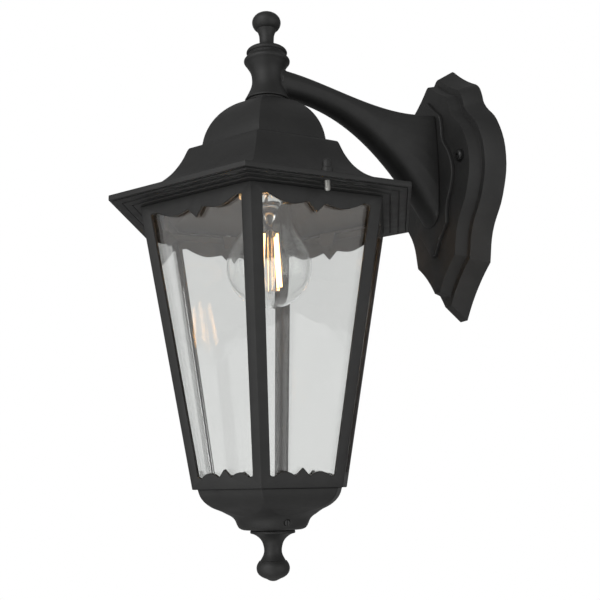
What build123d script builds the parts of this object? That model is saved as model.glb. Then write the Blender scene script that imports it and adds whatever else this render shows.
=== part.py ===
from build123d import *
from math import atan2, cos, degrees, hypot, pi, radians, sin, sqrt, tan
import os

# A hexagonal wall lantern that hangs under a curved arm: wall plate, arm, ogee roof, tapered
# glazed cage, bowl-shaped base, two turned finials and a screw-in lamp.
# Millimetres. +Y points into the wall, +Z up. The origin is the centre of the mounting strap's
# back face, in the plane of the wall. Lantern parts are drawn about the lantern's own upright axis,
# with height 0 at the bottom rim of the cage, and are then moved to PROJECTION from the wall.

# ---------------------------------------------------------------- driving sizes
PROJECTION = 163.5        # wall to the lantern's axis
RIM_DROP = 243.5          # cage's bottom rim below the mounting strap's centre line
SIDES = 6

SLIP = 0.08               # radial play of a part that slides or turns in its hole
CLEAR = 0.25              # radial play of a screw that only passes through a hole
SEAT = 0.2                # gap between parts that are seated but not pressed together

# cage: "flat" sizes are from the axis to the middle of a side
CAGE_RIM_FLAT = 49.6      # outer face at the bottom rim
CAGE_HEAD_SHARE = 0.812   # the same at the top of the faces, as a share of the eave's
CAGE_FACE_HEIGHT = 189.2
CAGE_WALL = 2.6
POST_WIDTH_LOW = 6.6      # width of a corner post seen on one side, at the bottom
POST_WIDTH_HIGH = 8.0
LOWER_VALLEY = 7.0        # scalloped border heights, from the rim
LOWER_CREST = 10.2
LOWER_PEAK = 12.6
UPPER_CUSP = 183.2
UPPER_SAG = 177.8
UPPER_NOTCH = 180.2
UPPER_POINT = 173.8
POINT_HALF_WIDTH = 6.0    # half width of the pointed tongue in both borders
FLOOR_THICK = 3.0         # inward flange at the bottom of the cage
FLOOR_OPENING_FLAT = 33.0
GROOVE_LIP = 1.8
GROOVE_LIP_HEIGHT = 4.5

# head moulding: three steps under the roof, from the inside out
STEP_SHARES = (0.225, 0.547, 0.852)   # share of the way from the cage's face to the eave
STEP_DROP = 0.6
HEAD_EDGE = 1.5           # thickness of the outermost step
COLLAR_PROUD = 1.7        # upstand inside the roof, out from the cage's face
COLLAR_HEIGHT = 5.3       # top of the upstand above the cage faces

# glazing
GLASS_THICK = 3.0
GLASS_PLAY = 0.3
RETAINER_THICK = 0.8
RETAINER_OVERLAP = 3.0
RETAINER_TAB_HALF = 7.0   # half width of each pane's tab at its root
RETAINER_SCREW = 5.4      # length under its head

# roof
EAVE_FLAT = 101.0
EAVE_LIP = 3.5
EAVE_LIP_WALL = 1.8
EAVE_DROP = 0.8           # lip's lower edge below the top of the head moulding's edge
ROOF_WALL = 2.5
FLARE_SHARES = ((0.479, 9.4), (0.258, 17.8), (0.096, 29.0))   # (share of the way to the eave, height)
LEDGE_FLAT = 53.0
LEDGE_RISE = 39.4
LEDGE_SLOPE_RISE = 5.0
DOME_FLAT = 43.8
DOME_WAY = (31.7, 70.6)   # a point of the dome's curve
CROWN_FLAT = 14.5
CROWN_RISE = 83.1
CROWN_THICK = 4.5

# roof screws
ROOF_SCREW_SIDES = (0, 180)   # one screw to the right and one to the left
ROOF_SCREW_R = 1.95
ROOF_SCREW_INSET = 3.4    # in from the edge of the outermost step
ROOF_SCREW_SHOWS = 6.2    # length below the moulding
CAP_NUT_R = 3.1
CAP_NUT_FLANGE_R = 3.5
CAP_NUT_FLANGE = 1.0
CAP_NUT_NECK = 2.9
EAVE_PAD_R = 3.9          # raised flat under each cap nut

# hub and arm
GASKET_THICK = 1.4
HUB_HEIGHT = 36.2
HUB_FOOT_R = 16.4
HUB_WAIST_R = 11.2
HUB_BEAD_R = 17.1
HUB_TOP_R = 14.4
HUB_CAVITY_R = 7.0
NIPPLE_R = 5.0
NIPPLE_BORE_R = 3.4
NIPPLE_THREAD = 6.5       # length of nipple held in the hub
ARM_ROOT_HALF = 13.5      # half width at the wall plate
ARM_NECK_HALF = 9.7       # half width at the hub
ARM_NECK_TOP = 26.4       # heights of the arm's top and belly on the hub
ARM_NECK_LOW = 6.0
ARM_ROOT_TOP = 42.0       # heights at the wall plate, from the strap's centre line
ARM_ROOT_BOTTOM = -47.5
ARM_LEVEL_FROM = 0.9      # share of the arm's length where its top becomes level
ARM_SWEEP = 2.4           # power of the belly's downward sweep
ARM_SAG = 2.6             # extra dip of the top, deepest a little past the middle
ARM_SAG_SKEW = 1.3
ARM_NECK_ROUND = 0.85     # corner radius of the top edges as a share of the half width
ARM_ROOT_ROUND = 0.32
ARM_STATIONS = (0.05, 0.2, 0.36, 0.52, 0.68, 0.84, 1.0)
CHANNEL_R = 3.2
CHANNEL_ROOT_Z = 18.5
ARM_SCREW_R = 2.4
ARM_SCREW_HEIGHTS = (32.0, -19.0)
ARM_SCREW_DEPTH = 11.0

# top finial
FINIAL_DISH_R = 15.0
FINIAL_NECK_R = 5.4
FINIAL_BALL_R = 10.7
FINIAL_HEIGHT = 33.3
FINIAL_SPIGOT_R = 5.0
FINIAL_SPIGOT = 9.0
FINIAL_WASHER_THICK = 0.9

# base
BOWL_RIM_FLAT = 46.4
BOWL_DEPTH = 27.2
BOWL_FOOT_R = 21.4
BOWL_WALL = 2.6
BOWL_BOSS_R = 7.5
BOWL_BOSS_HEIGHT = 12.0
BASE_SCREW_RING_R = 38.0
BASE_SCREW_R = 1.5
BASE_SCREW = 9.0          # length under its head
DRAIN_SCREW_DROP = 22.3
DRAIN_SCREW_R = 1.5
DRAIN_HEAD_R = 1.8
DRAIN_RECESS_R = 2.3
DRAIN_FACE_INSET = 1.9    # recess face beyond the foot's radius
BASE_FINIAL_DISC_R = 15.2
BASE_FINIAL_NECK_R = 6.0
BASE_FINIAL_BALL_R = 11.2
BASE_FINIAL_HEIGHT = 33.2
BASE_SPIGOT_R = 3.0
BASE_SPIGOT = 10.0
BASE_WASHER_R = 10.0
BASE_WASHER_THICK = 0.5

# lampholder and lamp (E27 screw, 60 mm globe)
HOLDER_DROP = 17.9        # top of the lampholder below the roof's crown
HOLDER_RIM_R = 20.5
HOLDER_BODY_R = 17.5
HOLDER_HEIGHT = 54.0
HOLDER_BODY = 34.0        # height of the ceramic body below the cap
HOLDER_RIM = 5.0          # height of the rim's upright edge
HOLDER_WALL = 2.6
HOLDER_RIM_WALL = 1.8
HOLDER_RECESS = 3.4       # depth of the hollow under the rim
SHELL_WALL = 0.8
SHELL_HEIGHT = 20.0
CONTACT_STEM_R = 1.9
LAMP_CAP_DROP = 1.0       # lamp cap's skirt below the lampholder's rim
LAMP_NECK_LENGTH = 50.0   # globe's centre below the cap's skirt
LAMP_GLOBE_R = 30.0
LAMP_GLASS = 0.9
LAMP_NECK_R = 14.2
LAMP_CAP_R = 13.1
LAMP_CAP_WALL = 0.6
LAMP_CAP_HEIGHT = 20.5
LAMP_TIP_RISE = 4.5       # tip above the cap's thread
LAMP_CONTACT_R = 4.5
FILAMENTS = 4
FILAMENT_R = 1.2
FILAMENT_RING_LOW = 9.5
FILAMENT_RING_HIGH = 6.5
FILAMENT_BELOW = 16.0     # ends of the light strips below and above the globe's centre
FILAMENT_ABOVE = 23.0
FILAMENT_TURN = 30.0
LAMP_STEM_R = 1.6
LAMP_WIRE_R = 0.25

# wall plate: half outlines in (width, height from the strap's centre line)
PLATE_APEX = 87.5
PLATE_BROW = (15.5, 75.0)
PLATE_SHOULDER = (37.2, 61.0)
PLATE_NECK = (41.6, 44.8)
PLATE_FLANK = (56.6, 25.5)
PLATE_BELLY = (64.8, -5.0)
PLATE_HIP = (58.2, -33.5)
PLATE_ANKLE = (43.4, -58.0)
PLATE_FOOT = (38.2, -80.5)
PLATE_SHIN = (18.6, -99.5)
PLATE_TIP = -121.5
PLATE_WALL = 3.0
PLATE_TIER_1 = 14.0
PLATE_TIER_2 = 9.5
PLATE_DRAFT = 7.0         # how far tier 1 draws in from back to front
PLATE_LEDGE = 4.2
PLATE_DRAFT_2 = 0.9
PAD_APEX = 56.5
PAD_BROW = (9.0, 48.0)
PAD_SHOULDER = (19.4, 39.0)
PAD_NECK = (20.6, 20.0)
PAD_FLANK = (28.0, 7.0)
PAD_BELLY = (32.2, -6.5)
PAD_HIP = (28.6, -21.5)
PAD_ANKLE = (22.4, -33.5)
PAD_FOOT = (21.0, -47.5)
PAD_SHIN = (10.8, -58.0)
PAD_TIP = -69.0
PAD_THICK = 3.0
SHOULDER_ROUND = 7.0

# strap, fixings and wiring in the wall plate
STRAP_LENGTH = 96.0
STRAP_HEIGHT = 20.0
STRAP_THICK = 2.5
SLOT_SPACING = 40.0
SLOT_LENGTH = 10.0
SLOT_R = 2.25
PLATE_SCREW_X = 40.0
PLATE_SCREW_R = 2.0
SCREW_HEAD_R = 4.0
SCREW_HEAD = 2.6
WASHER_THICK = 0.8
GASKET_WIDTH = 3.0
GASKET_DEPTH = 3.0
BLOCK_WIDTH = 30.0
BLOCK_HEIGHT = 16.0
BLOCK_DEPTH = 12.0
BLOCK_Z = -24.0
BLOCK_SCREW_R = 1.5
BLOCK_SCREW_HEAD_R = 2.6
WIRE_SCREW_R = 1.9
WIRE_SCREW_Z = 5.2
WIRE_WAY_R = 2.2
EARTH_X = -6.0
LEAD_R = 2.0
LEAD_BEND = 9.0
LEAD_HUB_BEND = 4.6
GROMMET_FLANGE_R = 5.6
GROMMET_FLANGE = 1.5

# ---------------------------------------------------------------- derived sizes
HALF_ANGLE = 180 / SIDES
FLAT = cos(radians(HALF_ANGLE))
CAGE_HEAD_FLAT = CAGE_HEAD_SHARE * EAVE_FLAT
TAPER = (CAGE_HEAD_FLAT - CAGE_RIM_FLAT) / CAGE_FACE_HEIGHT
LEAN = degrees(atan2(TAPER, 1))
STEP_FLATS = [CAGE_HEAD_FLAT + share * (EAVE_FLAT - CAGE_HEAD_FLAT) for share in STEP_SHARES]
STEP_Z = [CAGE_FACE_HEIGHT + STEP_DROP * k for k in range(len(STEP_FLATS))]
COLLAR_FLAT = CAGE_HEAD_FLAT + COLLAR_PROUD
ROOF_SCREW_FLAT = STEP_FLATS[-1] - ROOF_SCREW_INSET
HEAD_TOP_Z = STEP_Z[-1] + HEAD_EDGE
COLLAR_TOP_Z = CAGE_FACE_HEIGHT + COLLAR_HEIGHT
PANE_TOP_Z = CAGE_FACE_HEIGHT - 1.0
LIP_LOW_Z = HEAD_TOP_Z - EAVE_DROP + SEAT
LIP_TOP_Z = LIP_LOW_Z + EAVE_LIP
CROWN_Z = LIP_TOP_Z + CROWN_RISE
HUB_Z = CROWN_Z + GASKET_THICK
HUB_TOP_Z = HUB_Z + HUB_HEIGHT
CHANNEL_HUB_Z = HUB_Z + 0.459 * HUB_HEIGHT
HOLDER_RIM_Z = CROWN_Z - HOLDER_DROP - HOLDER_HEIGHT
LAMP_CAP_Z = HOLDER_RIM_Z - LAMP_CAP_DROP
LAMP_CENTRE_Z = LAMP_CAP_Z - LAMP_NECK_LENGTH
LAMP_TIP_Z = LAMP_CAP_Z + LAMP_CAP_HEIGHT + LAMP_TIP_RISE
FILAMENT_LOW_Z = LAMP_CENTRE_Z - FILAMENT_BELOW
FILAMENT_HIGH_Z = LAMP_CENTRE_Z + FILAMENT_ABOVE
PLATE_FACE = PLATE_TIER_1 + PLATE_TIER_2
PAD_FACE = PLATE_FACE + PAD_THICK
ARM_LENGTH = PROJECTION - PAD_FACE
SHELL_R = LAMP_CAP_R + SLIP
DRAIN_FACE_R = BOWL_FOOT_R + DRAIN_FACE_INSET
FLARE = [(LEDGE_FLAT + share * (EAVE_FLAT - LEDGE_FLAT), rise) for share, rise in FLARE_SHARES]
EAVE_FALL = FLARE[0][1] / (EAVE_FLAT - FLARE[0][0])
EAVE_PAD_Z = LIP_TOP_Z + EAVE_FALL * (EAVE_FLAT - ROOF_SCREW_FLAT + EAVE_PAD_R)
LANTERN = Location((0, -PROJECTION, -RIM_DROP))


# ---------------------------------------------------------------- shared shapes
def face_flat(height):
    """Distance from the axis to the cage's outer face at a height."""
    return CAGE_RIM_FLAT + TAPER * height


def inner_flat(height, depth):
    """Distance to a plane that lies a depth behind the cage's outer face."""
    return face_flat(height) - depth / cos(radians(LEAN))


def disc(radius, low, high, x=0.0, y=0.0):
    """An upright round bar between two heights."""
    return Pos(x, y, low) * Cylinder(radius, high - low, align=(Align.CENTER, Align.CENTER, Align.MIN))


def ring(outer, inner, low, high, x=0.0, y=0.0):
    """An upright washer or sleeve."""
    return disc(outer, low, high, x, y) - disc(inner, low - 1, high + 1, x, y)


def bar_y(radius, near, far, x=0.0, z=0.0):
    """A round bar that runs along Y."""
    return Pos(x, near, z) * Rot(-90, 0, 0) * Cylinder(
        radius, far - near, align=(Align.CENTER, Align.CENTER, Align.MIN)
    )


def turned(*edges):
    """A solid of revolution from a chain of edges in the XZ plane, closed along the axis."""
    low, high = edges[0] @ 0, edges[-1] @ 1
    corners = [high, Vector(0, 0, high.Z), Vector(0, 0, low.Z), low]
    closing = [Line(a, b) for a, b in zip(corners, corners[1:]) if (b - a).length > 1e-6]
    return revolve(make_face(list(edges) + closing), Axis.Z)


def xz(*points):
    """Points of the XZ plane from (x, z) pairs."""
    return [(x, 0, z) for x, z in points]


def path(*points):
    """Straight runs through (x, z) pairs."""
    return Polyline(*xz(*points))


def curve(*points, **ends):
    """A smooth curve through (x, z) pairs."""
    return Spline(*xz(*points), **ends)


def mitred(profile):
    """A face in the XZ plane carried round the six sides, with mitred corners."""
    box = profile.bounding_box()
    reach = 1.5 * box.max.X
    spread = reach * tan(radians(HALF_ANGLE))
    bar = extrude(profile, amount=reach, dir=(0, 1, 0), both=True)
    corners = Polyline((0, 0), (reach, spread), (reach, -spread), close=True)
    wedge = extrude(Pos(0, 0, box.min.Z - 1) * make_face(corners), amount=box.size.Z + 2)
    sector = bar & wedge
    body = sector
    for k in range(1, SIDES):
        body += Rot(0, 0, k * 2 * HALF_ANGLE) * sector
    return body.clean()


def inset(points, distance):
    """Through-points of a closed outline, drawn in by a distance and mitred at each point."""
    moved = []
    count = len(points)
    for k, (x, z) in enumerate(points):
        before, after = points[k - 1], points[(k + 1) % count]
        run_in = hypot(x - before[0], z - before[1])
        run_out = hypot(after[0] - x, after[1] - z)
        normal_in = ((z - before[1]) / run_in, -(x - before[0]) / run_in)
        normal_out = ((after[1] - z) / run_out, -(after[0] - x) / run_out)
        share = distance / (1 + normal_in[0] * normal_out[0] + normal_in[1] * normal_out[1])
        moved.append((x + share * (normal_in[0] + normal_out[0]), z + share * (normal_in[1] + normal_out[1])))
    return moved


# ---------------------------------------------------------------- wall plate
PLATE_HALF = [PLATE_BROW, PLATE_SHOULDER, PLATE_NECK, PLATE_FLANK, PLATE_BELLY, PLATE_HIP,
              PLATE_ANKLE, PLATE_FOOT, PLATE_SHIN]
PAD_HALF = [PAD_BROW, PAD_SHOULDER, PAD_NECK, PAD_FLANK, PAD_BELLY, PAD_HIP,
            PAD_ANKLE, PAD_FOOT, PAD_SHIN]


def outline(half, apex, tip, distance, y):
    """The plate's wavy outline as a face at a depth y, drawn in by a distance."""
    mirrored = [(-x, z) for x, z in reversed(half)]
    points = inset([(0, apex)] + half + [(0, tip)] + mirrored, distance)
    ring_points = [(x, y, z) for x, z in points]
    ring_points.append(ring_points[0])
    low = len(half) + 1
    right, left = ring_points[:low + 1], ring_points[low:]
    runs = [
        ThreePointArc(*right[:3]),
        Spline(*right[2:-2]),
        ThreePointArc(*right[-3:]),
        ThreePointArc(*left[:3]),
        Spline(*left[2:-2]),
        ThreePointArc(*left[-3:]),
    ]
    return make_face(runs)


def plate_tier(inset_back, inset_front, back, front, shape=(PLATE_HALF, PLATE_APEX, PLATE_TIP)):
    """One tier of the plate between two depths, drawing in from back to front."""
    return loft([outline(*shape, inset_back, -back), outline(*shape, inset_front, -front)], ruled=True)


def shoulder_rounded(tier, radius):
    """The tier with its two shoulder corners rounded."""
    def at_shoulder(edge):
        middle = edge @ 0.5
        return abs(abs(middle.X) - PLATE_SHOULDER[0]) < 14 and abs(middle.Z - PLATE_SHOULDER[1]) < 12
    crossing = [e for e in tier.edges() if abs((e % 0.5).Y) > 0.5 and at_shoulder(e)]
    return fillet(crossing, radius)


def wall_plate():
    """The plate casting: two drafted tiers and a raised pad, hollow behind."""
    tier_2 = PLATE_DRAFT + PLATE_LEDGE
    body = shoulder_rounded(plate_tier(0, PLATE_DRAFT, 0, PLATE_TIER_1), SHOULDER_ROUND)
    body += plate_tier(tier_2, tier_2 + PLATE_DRAFT_2, PLATE_TIER_1 - 1, PLATE_FACE)
    body += plate_tier(0, 0.4, PLATE_FACE - 1, PAD_FACE, (PAD_HALF, PAD_APEX, PAD_TIP))
    floor_1 = PLATE_TIER_1 - PLATE_WALL
    draft_1 = PLATE_DRAFT * floor_1 / PLATE_TIER_1
    body -= plate_tier(PLATE_WALL, PLATE_WALL + draft_1, -0.01, floor_1)
    hollow_2 = tier_2 + PLATE_WALL
    body -= plate_tier(hollow_2, hollow_2 + PLATE_DRAFT_2, floor_1 - 1, PLATE_FACE - PLATE_WALL)
    for x in (-PLATE_SCREW_X, PLATE_SCREW_X):
        body -= bar_y(PLATE_SCREW_R + CLEAR, -PAD_FACE - 1, 1, x)
    body -= bar_y(CHANNEL_R + 1, -PAD_FACE - 1, 1, 0, CHANNEL_ROOT_Z)
    for z in ARM_SCREW_HEIGHTS:
        body -= bar_y(ARM_SCREW_R + CLEAR, -PAD_FACE - 1, 1, 0, z)
    return body


def wall_gasket():
    """Foam seal that fills the groove behind the plate's rim, level with its back."""
    outer = plate_tier(PLATE_WALL + SEAT + 0.3, PLATE_WALL + SEAT + 2.0, 0, GASKET_DEPTH)
    inner = plate_tier(PLATE_WALL + GASKET_WIDTH, PLATE_WALL + GASKET_WIDTH + 2, -0.01, GASKET_DEPTH + 0.01)
    return outer - inner


def mounting_strap():
    """Steel strap that is fixed to the wall through its slots and carries the plate."""
    half = STRAP_THICK / 2
    bar = Pos(0, -half, 0) * Box(STRAP_LENGTH, STRAP_THICK, STRAP_HEIGHT)
    bar = fillet(bar.edges().filter_by(Axis.Y), STRAP_HEIGHT / 4)
    for side in (-1, 1):
        slot = SlotOverall(SLOT_LENGTH, 2 * SLOT_R)
        cutter = extrude(Plane.XZ * Pos(side * SLOT_SPACING / 2, 0) * slot, amount=2 * STRAP_THICK, both=True)
        bar -= cutter
        bar -= bar_y(PLATE_SCREW_R + SLIP, -STRAP_THICK - 1, 1, side * PLATE_SCREW_X)
    tab = Pos(0, -half, BLOCK_Z / 2) * Box(BLOCK_WIDTH, STRAP_THICK, -BLOCK_Z + BLOCK_HEIGHT)
    bar += tab
    for x in (EARTH_X, -EARTH_X):
        bar -= bar_y(PLATE_SCREW_R + SLIP, -STRAP_THICK - 1, 1, x)
    bar -= bar_y(BLOCK_SCREW_R + SLIP, -STRAP_THICK - 1, 1, 0, BLOCK_Z)
    return bar


def pan_screw(x, z, seat, tip, shank):
    """A pan-head screw along Y: its head bears on the plane y = seat and its tip is at y = tip."""
    head = bar_y(SCREW_HEAD_R, seat - SCREW_HEAD, seat, x, z)
    head = fillet(head.edges().sort_by(Axis.Y)[0], SCREW_HEAD * 0.45)
    for turn in (0, 90):
        head -= Pos(x, seat - SCREW_HEAD, z) * Rot(0, turn, 0) * Box(SCREW_HEAD_R, SCREW_HEAD, 0.9)
    return head + bar_y(shank, seat, tip, x, z)


def washer_y(x, z, seat, bore, outer=SCREW_HEAD_R + 0.8):
    """A flat washer along Y with its far side on the plane y = seat."""
    return bar_y(outer, seat - WASHER_THICK, seat, x, z) - bar_y(bore, seat - 2, seat + 1, x, z)


def hex_screw_y(x, z, seat, tip, shank):
    """A hexagon-head screw along Y: its head is on the wall side of the plane y = seat."""
    head_face = RegularPolygon(2 * shank, SIDES)
    head = Pos(x, seat, z) * Rot(-90, 0, 0) * extrude(head_face, amount=1.4 * shank)
    return head + bar_y(shank, tip, seat, x, z)


def plate_fixings():
    """Screws and washers that pull the plate on to the strap."""
    seat = -PLATE_FACE - SEAT / 2
    screws, washers = [], []
    for x in (-PLATE_SCREW_X, PLATE_SCREW_X):
        washers.append(washer_y(x, 0, seat, PLATE_SCREW_R + CLEAR))
        screws.append(pan_screw(x, 0, seat - WASHER_THICK, -SEAT, PLATE_SCREW_R))
    return screws, washers


def terminal_block():
    """Three-way connector block on the strap's tab, with its wire screws and fixing screw."""
    front = -STRAP_THICK - BLOCK_DEPTH
    block = Pos(0, front + BLOCK_DEPTH / 2, BLOCK_Z) * Box(BLOCK_WIDTH, BLOCK_DEPTH, BLOCK_HEIGHT)
    block = fillet(block.edges().filter_by(Axis.Y), 1.2)
    pitch = BLOCK_WIDTH / 3
    wire_screws = []
    for k in (-1, 0, 1):
        for z in (BLOCK_Z - WIRE_SCREW_Z, BLOCK_Z + WIRE_SCREW_Z):
            block -= bar_y(WIRE_SCREW_R, front - 1, front + 4.5, k * pitch, z)
            wire_screws.append(bar_y(WIRE_SCREW_R - SLIP, front + 0.8, front + 4.5, k * pitch, z))
        way = disc(WIRE_WAY_R, BLOCK_Z - BLOCK_HEIGHT, BLOCK_Z + BLOCK_HEIGHT, k * pitch)
        block -= Pos(0, -STRAP_THICK - 4.2, 0) * way
    head, shank = BLOCK_SCREW_HEAD_R, BLOCK_SCREW_R
    block -= bar_y(shank + CLEAR, -PLATE_FACE, 1, 0, BLOCK_Z)
    block -= bar_y(head + SLIP, -PLATE_FACE, front + 2, 0, BLOCK_Z)
    fixing = bar_y(head, front + 0.2, front + 2, 0, BLOCK_Z) + bar_y(shank, front + 2, -SEAT, 0, BLOCK_Z)
    return block, wire_screws, fixing


def earth_fixing():
    """Earth screw and its cup washer on the strap, above the block."""
    x = EARTH_X
    cup = washer_y(x, 0, -STRAP_THICK, PLATE_SCREW_R + SLIP, SCREW_HEAD_R)
    return pan_screw(x, 0, -STRAP_THICK - WASHER_THICK, -SEAT, PLATE_SCREW_R), cup


# ---------------------------------------------------------------- arm and hub
def arm_section(reach, low, high, half, corner):
    """The arm's upright section at a distance from the lantern axis: round below, eased above."""
    y = reach - PROJECTION
    side_low = low + half
    side_high = high - corner
    ease = corner * (1 - sqrt(0.5))
    points = [(-half, y, side_low), (0, y, low), (half, y, side_low)]
    edges = [
        ThreePointArc(*points),
        Line((half, y, side_low), (half, y, side_high)),
        ThreePointArc((half, y, side_high), (half - ease, y, high - ease), (half - corner, y, high)),
        Line((half - corner, y, high), (corner - half, y, high)),
        ThreePointArc((corner - half, y, high), (ease - half, y, high - ease), (-half, y, side_high)),
        Line((-half, y, side_high), (-half, y, side_low)),
    ]
    return make_face(edges)


def smooth_step(share):
    """A rise from 0 to 1 that starts and ends level."""
    held = min(share, 1.0)
    return held * held * (3 - 2 * held)


def arm_sections():
    """Sections from the hub to the plate; the top sags to level, the belly sweeps down to the root."""
    top_hub = HUB_Z + ARM_NECK_TOP - RIM_DROP
    low_hub = HUB_Z + ARM_NECK_LOW - RIM_DROP
    sections = []
    for share in ARM_STATIONS:
        high = top_hub - (top_hub - ARM_ROOT_TOP) * smooth_step(share / ARM_LEVEL_FROM)
        high -= ARM_SAG * sin(pi * share ** ARM_SAG_SKEW)
        low = low_hub - (low_hub - ARM_ROOT_BOTTOM) * share ** ARM_SWEEP
        half = ARM_NECK_HALF + (ARM_ROOT_HALF - ARM_NECK_HALF) * smooth_step(share)
        round_share = ARM_NECK_ROUND + (ARM_ROOT_ROUND - ARM_NECK_ROUND) * share
        sections.append(arm_section(ARM_LENGTH * share, low, high, half, half * round_share))
    return sections


def hub_body():
    """The turned hub: flared foot, waist, bead and neck."""
    z, tall = HUB_Z, HUB_HEIGHT
    foot = path((HUB_FOOT_R, z), (HUB_FOOT_R + 0.3, z + 0.022 * tall))
    bead_mid, bead_top = (HUB_BEAD_R, z + 0.868 * tall), (HUB_TOP_R + 0.9, z + 0.938 * tall)
    flare = curve((HUB_FOOT_R + 0.3, z + 0.022 * tall), (HUB_WAIST_R + 3.3, z + 0.133 * tall),
                  (HUB_WAIST_R + 0.4, z + 0.331 * tall), (HUB_WAIST_R, z + 0.475 * tall),
                  (HUB_WAIST_R + 0.9, z + 0.62 * tall), (HUB_WAIST_R + 4.2, z + 0.775 * tall), bead_mid)
    bead = ThreePointArc(*xz(bead_mid, (HUB_BEAD_R - 0.7, z + 0.915 * tall), bead_top))
    neck = path(bead_top, (HUB_TOP_R, z + 0.95 * tall), (HUB_TOP_R, z + tall))
    return turned(*foot.edges(), flare, bead, *neck.edges())


def arm_casting():
    """Hub and arm in one casting, with the cable channel and the screw holes in its root."""
    hub = LANTERN * hub_body()
    body = hub + loft(arm_sections())
    axis = (0, -PROJECTION)
    body -= LANTERN * disc(HUB_CAVITY_R, HUB_Z + NIPPLE_THREAD, HUB_TOP_Z - FINIAL_SPIGOT - 1)
    body -= LANTERN * disc(NIPPLE_R + SLIP / 2, HUB_Z - 1, HUB_Z + NIPPLE_THREAD + 1)
    body -= LANTERN * disc(FINIAL_SPIGOT_R + SLIP, HUB_TOP_Z - FINIAL_SPIGOT - 2, HUB_TOP_Z + 1)
    start = (0, axis[1], CHANNEL_HUB_Z - RIM_DROP)
    finish = (0, -PAD_FACE + 1, CHANNEL_ROOT_Z - (CHANNEL_HUB_Z - RIM_DROP - CHANNEL_ROOT_Z) / ARM_LENGTH)
    run = Line(start, finish)
    body -= sweep(Plane(origin=start, z_dir=run % 0) * Circle(CHANNEL_R), path=run)
    for z in ARM_SCREW_HEIGHTS:
        body -= bar_y(ARM_SCREW_R, -PAD_FACE - ARM_SCREW_DEPTH - 1, 1 - PAD_FACE, 0, z)
    return body


def arm_fixings():
    """Hexagon screws and washers that hold the arm, inside the plate."""
    seat = -PLATE_FACE + PLATE_WALL
    screws, washers = [], []
    for z in ARM_SCREW_HEIGHTS:
        washers.append(washer_y(0, z, seat + WASHER_THICK + SEAT / 2, ARM_SCREW_R + CLEAR))
        head = seat + WASHER_THICK + SEAT
        screws.append(hex_screw_y(0, z, head, -PAD_FACE - ARM_SCREW_DEPTH, ARM_SCREW_R - SLIP / 2))
    return screws, washers


def cable_grommet():
    """Rubber bush where the lead passes from the plate into the arm."""
    inside = -PLATE_FACE + PLATE_WALL
    bush = bar_y(CHANNEL_R + 1 - SLIP, -PAD_FACE + SEAT, inside + GROMMET_FLANGE, 0, CHANNEL_ROOT_Z)
    bush += bar_y(GROMMET_FLANGE_R, inside + SEAT / 2, inside + GROMMET_FLANGE, 0, CHANNEL_ROOT_Z)
    slope = degrees(atan2(CHANNEL_HUB_Z - RIM_DROP - CHANNEL_ROOT_Z, ARM_LENGTH))
    hole = Pos(0, -PAD_FACE, CHANNEL_ROOT_Z) * Rot(-90 - slope, 0, 0) * Cylinder(LEAD_R + 0.1, PAD_FACE)
    return bush - hole


def supply_lead():
    """The lead that the lantern holds all the way: block, arm channel, hub, lampholder."""
    rise = (CHANNEL_HUB_Z - RIM_DROP - CHANNEL_ROOT_Z) / ARM_LENGTH
    behind = -STRAP_THICK - BLOCK_DEPTH + 3.5
    turn_z = CHANNEL_ROOT_Z - rise * (behind + PAD_FACE)
    block_top = BLOCK_Z + BLOCK_HEIGHT / 2 + SEAT
    end_z = HOLDER_RIM_Z + HOLDER_HEIGHT - 6 - RIM_DROP
    route = [(0, behind, block_top), (0, behind, turn_z), (0, -PROJECTION, CHANNEL_HUB_Z - RIM_DROP),
             (0, -PROJECTION, end_z)]
    line = FilletPolyline(*route, radius=[LEAD_BEND, LEAD_HUB_BEND])
    return sweep(Plane(origin=route[0], z_dir=(0, 0, 1)) * Circle(LEAD_R), path=line)


# ---------------------------------------------------------------- roof
def roof_flare(shift):
    """Through-points of the flare from lip to ledge, moved inward by a wall thickness."""
    points = [(EAVE_FLAT, 0.0)] + FLARE + [(LEDGE_FLAT, LEDGE_RISE)]
    moved = []
    for k, (flat, rise) in enumerate(points):
        before, after = points[max(k - 1, 0)], points[min(k + 1, len(points) - 1)]
        run = hypot(after[0] - before[0], after[1] - before[1])
        step_flat = -(after[1] - before[1]) / run
        step_rise = (after[0] - before[0]) / run
        moved.append((flat + shift * step_flat, LIP_TOP_Z + rise + shift * step_rise))
    return moved


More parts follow.
